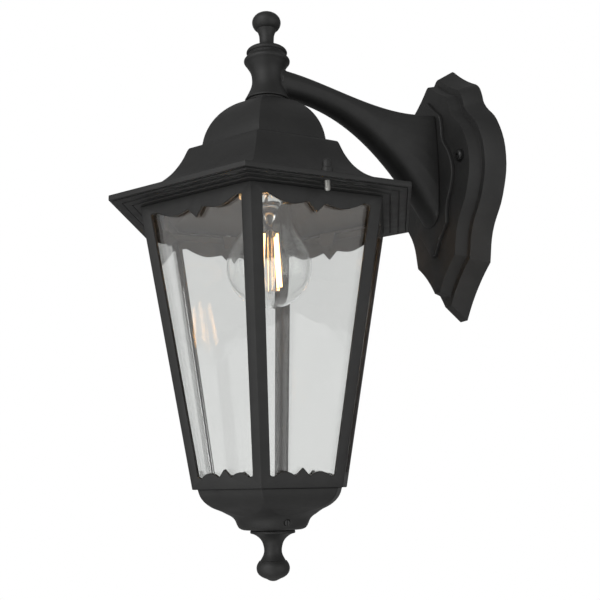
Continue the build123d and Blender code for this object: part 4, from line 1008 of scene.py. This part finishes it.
# ---------------------------------------------------------------- arm
@dataclass
class Arm(Assembly):
    """The arm and its hub in one casting."""

    pad_face: float = 26.5
    hub_z: float = 279.3
    hub_height: float = 36.2
    foot: float = 16.4
    waist: float = 11.2
    bead: float = 17.1
    neck: float = 14.4
    cavity: float = 7.0
    nipple_bore: float = 5.05
    spigot_bore: float = 5.1
    spigot_depth: float = 11.0
    root_half: float = 13.5
    hub_half: float = 9.7
    top_at_hub: float = 26.4
    belly_at_hub: float = 6.0
    root_top: float = 42.0
    root_belly: float = -47.5
    level_from: float = 0.9
    sweep: float = 2.4
    sag: float = 2.6
    sag_skew: float = 1.3
    hub_round: float = 0.85
    root_round: float = 0.32
    stations: int = 26
    grain: float = 0.6
    meeting: Point = (10.0, 20.0)     # distances from the axis where the arm meets the hub
    meeting_low: float = 4.0          # how far the meeting reaches below the belly
    meeting_high: float = 1.2         # and above the arm's top
    meeting_smooths: int = 14
    smooths: int = 3

    def ease(self, share: float) -> float:
        """A rise from 0 to 1 that starts and ends level."""
        held = min(share, 1.0)
        return held * held * (3 - 2 * held)

    def section(self, share: float) -> Piece:
        """The arm's upright outline at a share of its length from the hub.

        Args:
            share: 0 at the lantern's axis and 1 at the plate.

        Returns:
            The outline's edges, in place.
        """
        hub = self.hanging.rim + self.hub_z
        top_hub, low_hub = hub + self.top_at_hub, hub + self.belly_at_hub
        high = top_hub - (top_hub - self.root_top) * self.ease(share / self.level_from)
        high -= self.sag * math.sin(math.pi * share ** self.sag_skew)
        low = low_hub - (low_hub - self.root_belly) * share ** self.sweep
        half = self.hub_half + (self.root_half - self.hub_half) * self.ease(share)
        corner = half * (self.hub_round + (self.root_round - self.hub_round) * share)
        bulge = half * math.sqrt(0.5)
        eased = corner * (1 - math.sqrt(0.5))
        right = smooth((bulge, low + half - bulge), (half, low + half), (half, high - corner),
                       (half - eased, high - eased), (half - corner, high))
        line = draw("arm_section", smooth((0.0, low)) + right + mirrored(right), closed=True, steps=5)
        return move(line, y=(self.hanging.out - self.pad_face) * share - self.hanging.out)

    def hub(self) -> Piece:
        """The turned hub, bored for the nipple and the finial's spigot.

        Returns:
            The hub in place.
        """
        z, top, waist, bore = self.hub_z, self.hub_z + self.hub_height, self.waist, self.spigot_bore
        floor = top - self.spigot_depth
        line = sharp((self.foot, z), (self.foot + 0.3, z + 0.8)) \
            + smooth((waist + 3.3, z + 4.8), (waist + 0.4, z + 12.0), (waist, z + 17.2),
                     (waist + 0.9, z + 22.6), (waist + 4.2, z + 28.6), (self.bead, z + 31.4),
                     (self.bead - 0.7, z + 33.1)) \
            + sharp((self.neck + 0.9, z + 33.9), (self.neck, z + 34.3), (self.neck, top), (bore, top),
                    (bore, floor), (self.cavity, floor - 2), (self.cavity, z + 8),
                    (self.nipple_bore, z + 6.5), (self.nipple_bore, z))
        return self.hanging.hang(turned("hub", line, closed=True, steps=5))

    def build(self) -> None:
        """Build the casting, soften where the arm grows out of the hub, and dress it."""
        first = (self.cavity + 1.6) / (self.hanging.out - self.pad_face)
        shares = [first + (1 - first) * k / (self.stations - 1) for k in range(self.stations)]
        arm = loft("arm_casting", [self.section(share) for share in shares])
        close_up(arm)
        arm = join("arm_casting", [arm, self.hub()])
        cast(arm, self.grain)
        near = arm.vertex_groups.new(name="where_arm_meets_hub")
        axis = Vector((0.0, -self.hanging.out * MM))
        hub = self.hanging.rim + self.hub_z
        low = (hub + self.belly_at_hub - self.meeting_low) * MM
        high = (hub + self.top_at_hub + self.meeting_high) * MM
        found = [v.index for v in arm.data.vertices
                 if low < v.co.z < high and v.co.y > axis.y - 2 * MM
                 and self.meeting[0] * MM < (Vector(v.co[:2]) - axis).length < self.meeting[1] * MM]
        near.add(found, 1.0, "REPLACE")
        modify(arm, "SMOOTH", factor=0.6, iterations=self.meeting_smooths, vertex_group=near.name)
        arm.vertex_groups.clear()
        modify(arm, "SMOOTH", factor=0.5, iterations=self.smooths)
        self.show(arm, Body.WALL, Slot.PAINT, "arm", 50.0)


# ---------------------------------------------------------------- roof
ROOF_SCREW_FLAT = 94.8               # from the lantern's axis to each roof screw


@dataclass
class Roof(Assembly):
    """The ogee roof with a pad for each nut above its eave, and a boss for each screw below it."""

    lip: tuple[Point, ...] = ((101.0, 191.3), (101.0, 194.8))
    flare: tuple[Point, ...] = ((88.0, 199.6), (76.0, 204.2), (65.4, 212.6), (57.6, 223.8))
    ledge: tuple[Point, ...] = ((53.0, 234.2), (52.1, 235.5), (43.8, 239.2))
    dome_way: Point = (31.7, 265.4)
    crown: Point = (14.5, 277.9)
    bore: float = 5.3
    wall: float = 2.5
    edge: float = 0.7
    edge_angle: float = 16.0
    pad: tuple[Point, ...] = ((0.0, 198.6), (3.6, 198.6), (3.9, 198.3), (3.9, 194.4), (3.8, 192.1),
                              (0.0, 192.1))

    def build(self) -> None:
        """Build the roof casting and dress it."""
        line = sharp(*self.lip) + smooth(*self.flare) + sharp(*self.ledge) \
            + arc(self.ledge[-1], self.dome_way, self.crown, 8)[1:] + sharp((self.bore, self.crown[1]))
        roof = six_sided("roof_casting", line, closed=False)
        thicken(roof, self.wall)
        soften(roof, self.edge, self.edge_angle, 3)
        pads = pair("eave_pads", turned("eave_pad", sharp(*self.pad), around=40), ROOF_SCREW_FLAT)
        self.show_hung(join("roof_casting", [roof, pads]), Body.WALL, Slot.PAINT, "roof")


# ---------------------------------------------------------------- cage
@dataclass(frozen=True)
class Side:
    """One leaning side of the cage: where its points are in the side's own plane."""

    rim_flat: float = 49.6
    head_flat: float = 82.01
    height: float = 189.2
    post_low: float = 6.6
    post_high: float = 8.0

    def taper(self) -> float:
        """How far the side leans out for each millimetre up."""
        return (self.head_flat - self.rim_flat) / self.height

    def up(self, height: float) -> float:
        """Distance up the slope for an upright height."""
        return height * math.hypot(1.0, self.taper())

    def flat(self, height: float, depth: float = 0.0) -> float:
        """Distance from the axis to the side at a height, at a depth behind its outer face."""
        return self.rim_flat + self.taper() * height - self.up(depth)

    def half(self, height: float, depth: float = 0.0) -> float:
        """Half the side's length at a height, at a depth behind its outer face."""
        return self.flat(height, depth) * math.tan(CORNER_TURN)

    def post_edge(self, height: float) -> float:
        """Half width of the window at a height."""
        return self.half(height) - self.post_low - (self.post_high - self.post_low) * height / self.height

    def stand(self, piece: Piece) -> Piece:
        """Move a piece from its own upright plane to the side of the cage that faces +X."""
        return move(move(piece, turn=QUARTER_TURN), x=self.rim_flat, turn=math.atan(self.taper()), axis="Y")


@dataclass
class Cage(Assembly):
    """Posts, scalloped borders, floor flange, glazing groove and stepped head moulding."""

    side: Side = Side()
    wall: float = 2.6
    valley: float = 7.0
    crest: float = 10.2
    peak: float = 12.6
    cusp: float = 183.2
    sag: float = 177.8
    notch: float = 180.2
    point: float = 173.8
    point_half: float = 6.0
    valley_in: float = 0.8            # valley's inner end, inside the point
    lobe_in: float = 3.0              # valley's outer end, inside the post
    cusp_in: float = 4.0              # cusp, inside the post
    notch_in: float = 7.5             # notch, inside the cusp
    notch_drop: float = 0.4
    sag_share: float = 0.46           # of the way from the point to the cusp
    side_edge: float = 0.55
    side_angle: float = 24.0
    moulding_edge: float = 0.35
    floor_edge: float = 0.3
    steps: tuple[float, ...] = (86.3, 92.4, 98.2)
    step_drop: float = 0.6
    bead: float = 0.5
    groove: float = 0.8
    edge: float = 1.5
    collar: float = 83.7
    collar_top: float = 194.5
    floor: float = 3.0
    floor_opening: float = 33.0
    lip_top: float = 7.5
    screw_hole: float = 2.2
    margin: float = 0.6

    def half_panel(self) -> Piece:
        """The right half of one side, with half of its window cut out of it.

        Returns:
            The half side as a solid, in its own upright plane.
        """
        side, out = self.side, self.margin
        foot_z, head_z = self.valley + 1.0, self.cusp - 1.0
        foot, head = side.post_edge(foot_z), side.post_edge(head_z)
        lobe, valley_x, cusp_x = foot - self.lobe_in, self.point_half - self.valley_in, head - self.cusp_in
        sag_x = self.point_half + self.sag_share * (cusp_x - self.point_half)
        lower = arc((valley_x, self.valley + 0.2), ((self.point_half + lobe) / 2, self.crest),
                    (lobe, self.valley))
        upper = sharp((head, head_z), (cusp_x, self.cusp)) \
            + smooth((cusp_x - self.notch_in, self.notch - self.notch_drop), (sag_x, self.sag)) \
            + sharp((self.point_half, self.notch), (0.0, self.point), (-out, self.point + out))
        rim = sharp((-out, 0.0), (-out, self.peak - out), (0.0, self.peak))
        outer = sharp((-out, side.height), (side.half(side.height) + out, side.height),
                      (side.half(0.0) + out, 0.0))
        knots = rim + lower + sharp((foot, foot_z)) + upper + outer
        half = slab("half_side", [Knot(k.across, side.up(k.up), k.bend) for k in knots], self.wall, 5)
        trim(half, -1.0, 0.0)
        return half

    def shell(self) -> Piece:
        """The six sides with mitred corners.

        Returns:
            The cage's sides as one closed shell.
        """
        half = self.side.stand(self.half_panel())
        trim(half, -math.sin(CORNER_TURN), math.cos(CORNER_TURN))
        modify(half, "MIRROR", use_axis=(False, True, False), merge_threshold=1e-5)
        sides = [half] + [copy_of(half, f"side_{k}", math.tau * k / SIDES) for k in range(1, SIDES)]
        shell = join("cage_sides", sides)
        tidy(shell, 2e-5)
        return shell

    def moulding(self) -> Piece:
        """Stepped head moulding with grooves between its beads and its upstand inside the roof.

        Returns:
            The moulding.
        """
        side, z, groove = self.side, self.side.height, self.groove
        inner = side.flat(z, self.wall)
        line = sharp((side.head_flat, z))
        for k, flat in enumerate(self.steps):
            low = z + self.step_drop * k
            line += sharp((flat - self.bead, low)) + smooth((flat - 0.3 * self.bead, low + 0.3 * self.bead)) \
                + sharp((flat, low + self.bead))
            if k + 1 < len(self.steps):
                next_low = low + self.step_drop
                line += sharp((flat, next_low + groove), (flat + 0.7 * groove, next_low + groove),
                              (flat + groove, next_low))
        top = z + self.step_drop * (len(self.steps) - 1) + self.edge
        line += sharp((self.steps[-1], top), (self.collar, top), (self.collar, self.collar_top),
                      (inner, self.collar_top), (inner, z))
        piece = six_sided("head_moulding", line)
        for flat in (ROOF_SCREW_FLAT, -ROOF_SCREW_FLAT):
            cut(piece, bar("screw_hole", self.screw_hole, z - 1, top + 1, flat, 32))
        soften(piece, self.moulding_edge)
        return piece

    def floor_ring(self) -> Piece:
        """Inward flange at the bottom, with the lip of the glazing groove.

        Returns:
            The flange.
        """
        low, high, opening = self.floor, self.lip_top, self.floor_opening
        line = [(self.side.flat(z, depth), z) for z, depth in (
            (0.0, 0.4), (low, 0.4), (low, 6.2), (high, 6.2), (high, 8.0), (low, 8.0))]
        piece = six_sided("cage_floor", sharp((opening, 0.0), *line, (opening, low)))
        soften(piece, self.floor_edge)
        return piece

    def build(self) -> None:
        """Build the cage casting and dress it."""
        shell = self.shell()
        soften(shell, self.side_edge, self.side_angle, 3)
        cage = join("cage_casting", [shell, self.moulding(), self.floor_ring()])
        self.show_hung(cage, Body.CAGE, Slot.PAINT, "cage_frame")


@dataclass
class Glazing(Assembly):
    """Six panes of clear glass behind the windows."""

    side: Side = Side()
    depth: float = 2.9
    thick: float = 3.0
    low: float = 3.2
    high: float = 188.1
    play: float = 1.0
    edge: float = 0.35

    def build(self) -> None:
        """Build one pane, copy it round the cage and dress the panes."""
        back = self.depth + self.thick
        low, high = self.side.up(self.low), self.side.up(self.high)
        wide_low, wide_high = (self.side.half(z, back) - self.play for z in (self.low, self.high))
        pane = slab("pane", sharp((-wide_low, low), (wide_low, low), (wide_high, high), (-wide_high, high)),
                    self.thick)
        soften(move(pane, y=self.depth), self.edge, segments=1)
        self.side.stand(pane)
        for k in range(SIDES):
            twin = copy_of(pane, f"glass_pane_{k + 1}", math.tau * k / SIDES)
            twin.visible_shadow = False
            self.show_hung(twin, Body.CAGE, Slot.CLEAR_GLASS, f"pane_{k + 1}", 20.0)
        bpy.data.objects.remove(pane)


# ---------------------------------------------------------------- base bowl and finials
@dataclass
class Bowl(Assembly):
    """The bowl under the cage, six-sided above and round below."""

    corner: tuple[Point, ...] = ((53.6, 0.0), (51.3, -5.2), (45.3, -10.6), (32.6, -15.8), (26.2, -19.6),
                                 (23.7, -24.5), (22.6, -26.0), (20.1, -27.2))
    side: tuple[Point, ...] = ((46.4, 0.0), (44.6, -5.2), (39.9, -10.6), (31.1, -15.8), (27.4, -19.6),
                               (25.0, -24.5))
    wall: float = 2.6
    boss: float = 7.5
    boss_height: float = 12.0
    bore: float = 3.1
    drain_drop: float = 22.3
    drain_recess: float = 2.3
    drain_face: float = 23.3
    grain: float = 0.5
    smooths: int = 4

    def build(self) -> None:
        """Build the bowl casting and dress it."""
        foot_r, foot = self.corner[-1]
        side_r = self.side[-1][0]
        form = turned("bowl_casting", sharp(self.corner[0]) + smooth(*self.corner[1:-1])
                      + sharp(self.corner[-1], (0.0, foot), (0.0, 0.0)), around=ROUND)
        sides = six_sided("bowl_sides", sharp(self.side[0]) + smooth(*self.side[1:-1])
                          + sharp(self.side[-1], (side_r, foot - 1), (0.0, foot - 1)), closed=False)
        close_up(form)
        close_up(sides)
        cut(form, sides, "INTERSECT")
        inner = [(min(c[0], s[0]) - self.wall - 0.3, c[1] + 0.4) for c, s in zip(self.corner, self.side)]
        floor = foot + self.wall
        cut(form, turned("bowl_hollow", sharp((0.0, 0.5), *inner, (foot_r - 1.2, floor), (0.0, floor))))
        cut(form, bar("boss", self.boss, foot + 1, foot + self.boss_height), "UNION")
        cut(form, bar("bore", self.bore, foot - 1, foot + self.boss_height - 1))
        cut(form, move(bar("recess", self.drain_recess, 0.0, 8.0), x=self.drain_face, z=-self.drain_drop,
                       turn=QUARTER_TURN, axis="Y"))
        cast(form, self.grain)
        modify(form, "SMOOTH", factor=0.5, iterations=self.smooths)
        self.show_hung(form, Body.CAGE, Slot.PAINT, "base_bowl", 50.0)


@dataclass
class TopFinial(Assembly):
    """Ball finial on a dished foot."""

    foot_z: float = 316.4
    spigot: float = 5.0
    spigot_low: float = 306.5
    neck: tuple[Point, ...] = ((14.0, 319.6), (10.6, 321.3), (7.1, 322.5), (5.8, 324.0), (5.4, 328.8),
                               (5.9, 332.6))
    crease: tuple[Point, ...] = ((7.3, 336.1), (8.0, 336.4))
    ball: tuple[Point, ...] = ((9.2, 337.6), (10.2, 339.4), (10.7, 342.1), (10.3, 344.2), (9.2, 346.1),
                               (7.4, 347.8), (5.0, 349.0), (2.4, 349.6))
    top: float = 349.7

    def build(self) -> None:
        """Turn the finial and dress it."""
        low, foot, spigot = self.spigot_low, self.foot_z, self.spigot
        line = sharp((0.0, low), (spigot - 0.5, low), (spigot, low + 0.5), (spigot, foot), (14.5, foot)) \
            + smooth((15.0, foot + 0.7), (15.1, foot + 1.6), *self.neck) + sharp(*self.crease) \
            + smooth(*self.ball) + sharp((0.0, self.top))
        self.show_hung(turned("top_finial_turned", line, ROUND, steps=4), Body.TOP_KNOB, Slot.PAINT,
                       "top_finial", 40.0)


@dataclass
class BaseFinial(Assembly):
    """Pendant finial: thin disc, neck and ball."""

    low: float = -60.9
    ball: tuple[Point, ...] = ((2.0, -60.6), (4.6, -59.4), (7.6, -58.1), (9.9, -56.2), (11.1, -53.6),
                               (10.9, -50.4))
    crease: tuple[Point, ...] = ((9.3, -47.6), (8.6, -47.4))
    neck: tuple[Point, ...] = ((7.0, -44.7), (6.2, -42.6), (6.0, -40.5), (6.6, -37.0), (7.7, -34.4),
                               (9.4, -32.4), (12.6, -30.3))
    disc: Point = (15.2, -29.2)
    disc_z: float = -27.7
    spigot: float = 3.0
    spigot_top: float = -17.2

    def build(self) -> None:
        """Turn the finial and dress it."""
        z, top, spigot, rim = self.disc_z, self.spigot_top, self.spigot, self.disc[0]
        line = sharp((0.0, self.low)) + smooth(*self.ball) + sharp(*self.crease) + smooth(*self.neck) \
            + sharp((rim - 0.3, self.disc[1] - 0.4)) + smooth(self.disc) \
            + sharp((rim, z - 0.3), (rim - 0.3, z), (spigot, z), (spigot, top - 0.4), (spigot - 0.4, top),
                    (0.0, top))
        self.show_hung(turned("base_finial_turned", line, ROUND, steps=4), Body.BASE_KNOB, Slot.PAINT,
                       "base_finial", 40.0)


# ---------------------------------------------------------------- lampholder and lamp
@dataclass
class Holder(Assembly):
    """Cream lampholder body with a flared rim."""

    rim_z: float = 206.0
    rim: float = 20.5
    rim_inside: float = 18.7
    recess: float = 3.4
    body: float = 17.5
    joint: float = 239.9
    ceiling: float = 232.2
    bore: float = 13.98

    def build(self) -> None:
        """Turn the holder's body and dress it."""
        z, wide, rim, inside = self.rim_z, self.body, self.rim, self.rim_inside
        line = sharp((inside, z + self.recess), (inside, z + 0.4)) + smooth((inside + 0.3, z)) \
            + sharp((rim - 0.6, z)) + smooth((rim, z + 0.6)) + sharp((rim, z + 5.0)) \
            + smooth((rim - 0.7, z + 6.6)) \
            + sharp((wide, z + 9.0), (wide, z + 26.0), (wide - 0.5, z + 26.4), (wide - 0.5, z + 27.6),
                    (wide, z + 28.0), (wide, self.joint), (2.0, self.joint), (2.0, self.ceiling),
                    (self.bore, self.ceiling), (self.bore, z + self.recess))
        body = turned("holder_body_turned", line, ROUND, closed=True, steps=4)
        self.show_hung(body, Body.WALL, Slot.HOLDER, "holder_body", 35.0)


@dataclass
class Lamp(Assembly):
    """Globe lamp with a screw cap and four glowing strips."""

    globe: float = 30.0
    centre: float = 155.0
    neck: float = 14.2
    cap_z: float = 205.0
    cap: float = 13.1
    cap_height: float = 20.5
    glass: float = 0.9
    strips: int = 4
    strip_radius: float = 1.0
    strip_low: Point = (9.5, 139.0)
    strip_high: Point = (6.5, 178.0)
    strip_turn: float = 30.0

    def bulb(self) -> Piece:
        """The blown glass, thin-walled.

        Returns:
            The glass.
        """
        belly = ball(self.centre, self.globe, *range(-90, 21, 10), 33)
        join_x, join_z = belly[-1]
        rise, swell = self.cap_z - join_z, join_x - self.neck
        throat = smooth((self.neck + 0.42 * swell, join_z + 0.32 * rise),
                        (self.neck + 0.145 * swell, join_z + 0.68 * rise)) + sharp((self.neck, self.cap_z))
        shell = turned("lamp_bulb_blown", sharp(belly[0]) + smooth(*belly[1:]) + throat, ROUND, steps=3)
        thicken(shell, self.glass)
        return shell

    def screw_cap(self) -> Piece:
        """The rolled cap with its thread.

        Returns:
            The cap.
        """
        low, top, body, neck = self.cap_z, self.cap_z + self.cap_height, self.cap - 0.75, self.neck
        line = sharp((neck - 0.8, low), (neck + 0.1, low), (neck + 0.1, low + 1.2), (body, low + 2.8),
                     (body, top), (self.cap - 2.4, top + 1.5), (self.cap - 3.3, top + 1.5),
                     (self.cap - 3.3, top), (body - 0.6, top - 0.6), (body - 0.6, low + 3))
        cap = turned("lamp_screw_cap", line, closed=True)
        ridge = thread("cap_thread", body, self.cap - body, low + 2.6, top + 1.4, LAMP_PITCH)
        return join("lamp_screw_cap", [cap, ridge])

    def light_strips(self) -> Piece:
        """The four leaning strips.

        Returns:
            The strips as one piece.
        """
        (low_r, low_z), (high_r, high_z) = self.strip_low, self.strip_high
        strip = bar("strip", self.strip_radius, 0.0, math.hypot(high_r - low_r, high_z - low_z), around=16)
        with editing(strip):
            choose(strip, Pick.EDGES, lambda e: len(e.link_faces) == 2
                   and any(len(f.verts) > 4 for f in e.link_faces))
            bpy.ops.mesh.bevel(offset=0.6 * self.strip_radius * MM, segments=3, affect="EDGES")
        move(strip, x=low_r, z=low_z, turn=math.atan2(high_r - low_r, high_z - low_z), axis="Y")
        turns = [math.radians(self.strip_turn + 360 / self.strips * k) for k in range(self.strips)]
        copies = [copy_of(strip, f"strip_{k}", turn) for k, turn in enumerate(turns)]
        bpy.data.objects.remove(strip)
        return join("light_strips", copies)

    def build(self) -> None:
        """Build the lamp's glass, cap and strips, and dress them."""
        bulb = self.bulb()
        bulb.visible_shadow = False
        self.show_hung(bulb, Body.LAMP, Slot.LAMP_GLASS, "lamp_glass", 60.0)
        self.show_hung(self.screw_cap(), Body.LAMP, Slot.LAMP_METAL, "lamp_cap")
        self.show_hung(self.light_strips(), Body.LAMP, Slot.FILAMENT, "lamp_filaments", 60.0)


# ---------------------------------------------------------------- visible fixings
@dataclass
class Fixings(Assembly):
    """Screws and nuts that show from outside."""

    plate_screw_x: float = 40.0
    plate_seat: float = 24.4
    head: float = 4.0
    head_height: float = 2.6
    shank: float = 2.0
    shank_low: float = -24.2
    recess: Triple = (1.0, 4.6, 2.6)
    recess_z: float = 2.6
    roof_screw: float = 1.95
    roof_screw_low: float = 184.2
    roof_thread: float = 9.2
    roof_pitch: float = 0.7
    nut_z: float = 198.5
    nut_radius: float = 3.1
    nut_flange: float = 3.5
    nut_neck: float = 3.8

    def plate_screws(self) -> Piece:
        """The two pan-head screws with a cross recess that hold the plate.

        Returns:
            Both screws as one piece.
        """
        low, shank, head = self.shank_low, self.shank, self.head
        screw = turned("cross_screw", sharp((0.0, low), (shank - 0.4, low), (shank, low + 0.6), (shank, 0.0),
                                            (head - 0.2, 0.0), (head, 0.25))
                       + smooth((head - 0.1, 1.1), (head - 0.7, 1.9), (head - 1.9, 2.45))
                       + sharp((0.0, self.head_height)), around=48, steps=4)
        for turn in (0.0, QUARTER_TURN):
            clear_selection()
            bpy.ops.mesh.primitive_cube_add(size=MM, location=(0.0, 0.0, self.recess_z * MM))
            tool = bpy.context.object
            tool.scale = self.recess
            place(tool)
            with editing(tool):
                choose(tool, Pick.POINTS, lambda v: v.co.z < 2 * MM)
                bpy.ops.transform.resize(value=(0.55, 0.45, 1.0))
            cut(screw, move(tool, turn=turn))
        move(screw, y=-self.plate_seat, turn=QUARTER_TURN, axis="X")
        return pair("plate_cross_screws", screw, self.plate_screw_x)

    def roof_screws(self) -> Piece:
        """The two threaded screws through the eave.

        Returns:
            Both screws as one piece.
        """
        r, low, top = self.roof_screw, self.roof_screw_low, self.nut_z + self.nut_neck
        core = turned("roof_screw", sharp((0.0, low), (r - 0.55, low), (r - 0.3, low + 0.3), (r - 0.3, top),
                                          (0.0, top)), around=32)
        ridge = thread("roof_screw_thread", r - 0.3, 0.3, low + 0.2, low + self.roof_thread,
                       self.roof_pitch, 24)
        return pair("roof_threaded_screws", join("roof_screw", [core, ridge]), ROOF_SCREW_FLAT)

    def cap_nuts(self) -> Piece:
        """The two domed nuts on the roof screws.

        Returns:
            Both nuts as one piece.
        """
        z, n, rim, dome_z = self.nut_z, self.nut_radius, self.nut_flange, self.nut_z + self.nut_neck
        flange = sharp((self.roof_screw, z), (rim - 0.2, z), (rim, z + 0.2)) + smooth((rim - 0.05, z + 0.7)) \
            + sharp((n + 0.2, z + 0.9), (n, z + 1.0), (n, dome_z))
        dome = smooth(*ball(dome_z, n, 20, 40, 60, 78)) + sharp((0.0, dome_z + n))
        return pair("roof_cap_nuts", turned("cap_nut", flange + dome, around=40, steps=4), ROOF_SCREW_FLAT)

    def build(self) -> None:
        """Build the fixings and dress them."""
        self.show(self.plate_screws(), Body.WALL, Slot.SCREW, "plate_screws")
        self.show_hung(self.roof_screws(), Body.WALL, Slot.ZINC, "roof_screws")
        self.show_hung(self.cap_nuts(), Body.WALL, Slot.PAINT, "cap_nuts")


# ---------------------------------------------------------------- studio
@dataclass
class Viewpoint:
    """The camera: place in metres, heading in degrees, and lens."""

    place: Triple = (0.6244, -0.4305, -0.2439)
    heading: float = 65.05
    pitch: float = 10.92
    roll: float = -1.06
    lens: float = 58.66
    sensor: float = 36.0

    def build(self) -> None:
        """Put the camera in the scene."""
        turns = ((self.heading, "Z"), (90 + self.pitch, "X"), (self.roll, "Z"))
        heading, pitch, roll = (Matrix.Rotation(math.radians(turn), 4, axis) for turn, axis in turns)
        data = bpy.data.cameras.new("camera")
        data.lens, data.sensor_width, data.clip_start = self.lens, self.sensor, 0.01
        camera = bpy.data.objects.new("camera", data)
        bpy.context.scene.collection.objects.link(camera)
        camera.matrix_world = Matrix.Translation(self.place) @ heading @ pitch @ roll
        bpy.context.scene.camera = camera


@dataclass(frozen=True)
class SoftLamp:
    """A soft round studio lamp."""

    name: str
    place: Triple
    size: float
    power: float

    def build(self, aim: Vector) -> None:
        """Put the lamp in the scene.

        Args:
            aim: the point that it shines at.
        """
        data = bpy.data.lights.new(self.name, "AREA")
        data.shape, data.size, data.energy = "DISK", self.size, self.power
        lamp = bpy.data.objects.new(self.name, data)
        bpy.context.scene.collection.objects.link(lamp)
        lamp.location = self.place
        lamp.rotation_euler = (aim - Vector(self.place)).to_track_quat("-Z", "Y").to_euler()


@dataclass
class Studio:
    """Pale floor far below, white surroundings and soft lamps. Sizes are in metres."""

    hanging: Hanging
    floor_drop: float = 1.4
    floor_size: float = 30.0
    ambient: float = 0.28
    aim_up: float = 0.2
    lamps: tuple[SoftLamp, ...] = (SoftLamp("key_lamp", (0.8, -1.4, 0.8), 1.8, 11.0),
                                   SoftLamp("low_lamp", (0.4, -1.6, -0.2), 2.6, 14.0),
                                   SoftLamp("under_lamp", (0.6, -0.8, -1.0), 1.0, 2.0),
                                   SoftLamp("side_lamp", (1.7, 0.6, -0.2), 2.5, 12.0))
    glow_up: float = 0.158
    glow_power: float = 1.0
    glow_size: float = 0.02
    glow_colour: Triple = (1.0, 0.6, 0.32)

    def world(self) -> None:
        """White surroundings for what is seen or looked through, and a calm level of light for the rest."""
        world = bpy.data.worlds.new("surroundings")
        world.use_nodes = True
        tree = world.node_tree
        tree.nodes.clear()
        calm, white = (add_node(tree, "ShaderNodeBackground", color=(1.0, 1.0, 1.0, 1.0), strength=strength)
                       for strength in (self.ambient, 1.0))
        blend(tree, calm, white, add_node(tree, "ShaderNodeOutputWorld"))
        bpy.context.scene.world = world

    def floor(self) -> None:
        """Pale floor that keeps the lantern's shadow."""
        clear_selection()
        bpy.ops.mesh.primitive_plane_add(size=self.floor_size,
                                         location=(0.0, 0.0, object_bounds()[0].z - self.floor_drop))
        floor = bpy.context.object
        floor.name = "floor"
        shader = Shader("pale_floor")
        shader.coloured(shader.noise(0.8, 2.0), (0.80, 0.80, 0.80), (0.82, 0.82, 0.82))
        shader.rough(shader.noise(0.3, 2.0), 0.75, 0.85)
        blend(shader.tree, shader.surface, shader.add("ShaderNodeEmission", strength=1.0), shader.output)
        floor.data.materials.append(shader.look)
        floor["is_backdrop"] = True

    def build(self) -> None:
        """Set the floor, the surroundings and the lamps."""
        self.world()
        self.floor()
        rim = Vector((0.0, -self.hanging.out * MM, self.hanging.rim * MM))
        for lamp in self.lamps:
            lamp.build(rim + Vector((0.0, 0.0, self.aim_up)))
        glow = bpy.data.lights.new("lamp_glow", "POINT")
        glow.energy, glow.shadow_soft_size, glow.color = self.glow_power, self.glow_size, self.glow_colour
        bulb = bpy.data.objects.new("lamp_glow", glow)
        bpy.context.scene.collection.objects.link(bulb)
        bulb.location = rim + Vector((0.0, 0.0, self.glow_up))
        bulb.visible_camera = bulb.visible_transmission = bulb.visible_glossy = False
        bpy.context.scene.view_settings.view_transform = "Standard"


ASSEMBLIES = (WallPlate, Arm, Roof, Cage, Glazing, Bowl, TopFinial, BaseFinial, Holder, Lamp, Fixings)


def main() -> None:
    """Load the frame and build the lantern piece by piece."""
    logging.basicConfig(level=logging.INFO, format="%(message)s")
    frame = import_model()
    hanging = Hanging.from_frame()
    looks = {slot: finish.look() for slot, finish in FINISHES.items()}
    Viewpoint().build()
    dress_staying(frame, looks)
    for assembly in ASSEMBLIES:
        assembly(hanging, looks).build()
    Studio(hanging).build()


if __name__ == "__main__":
    main()
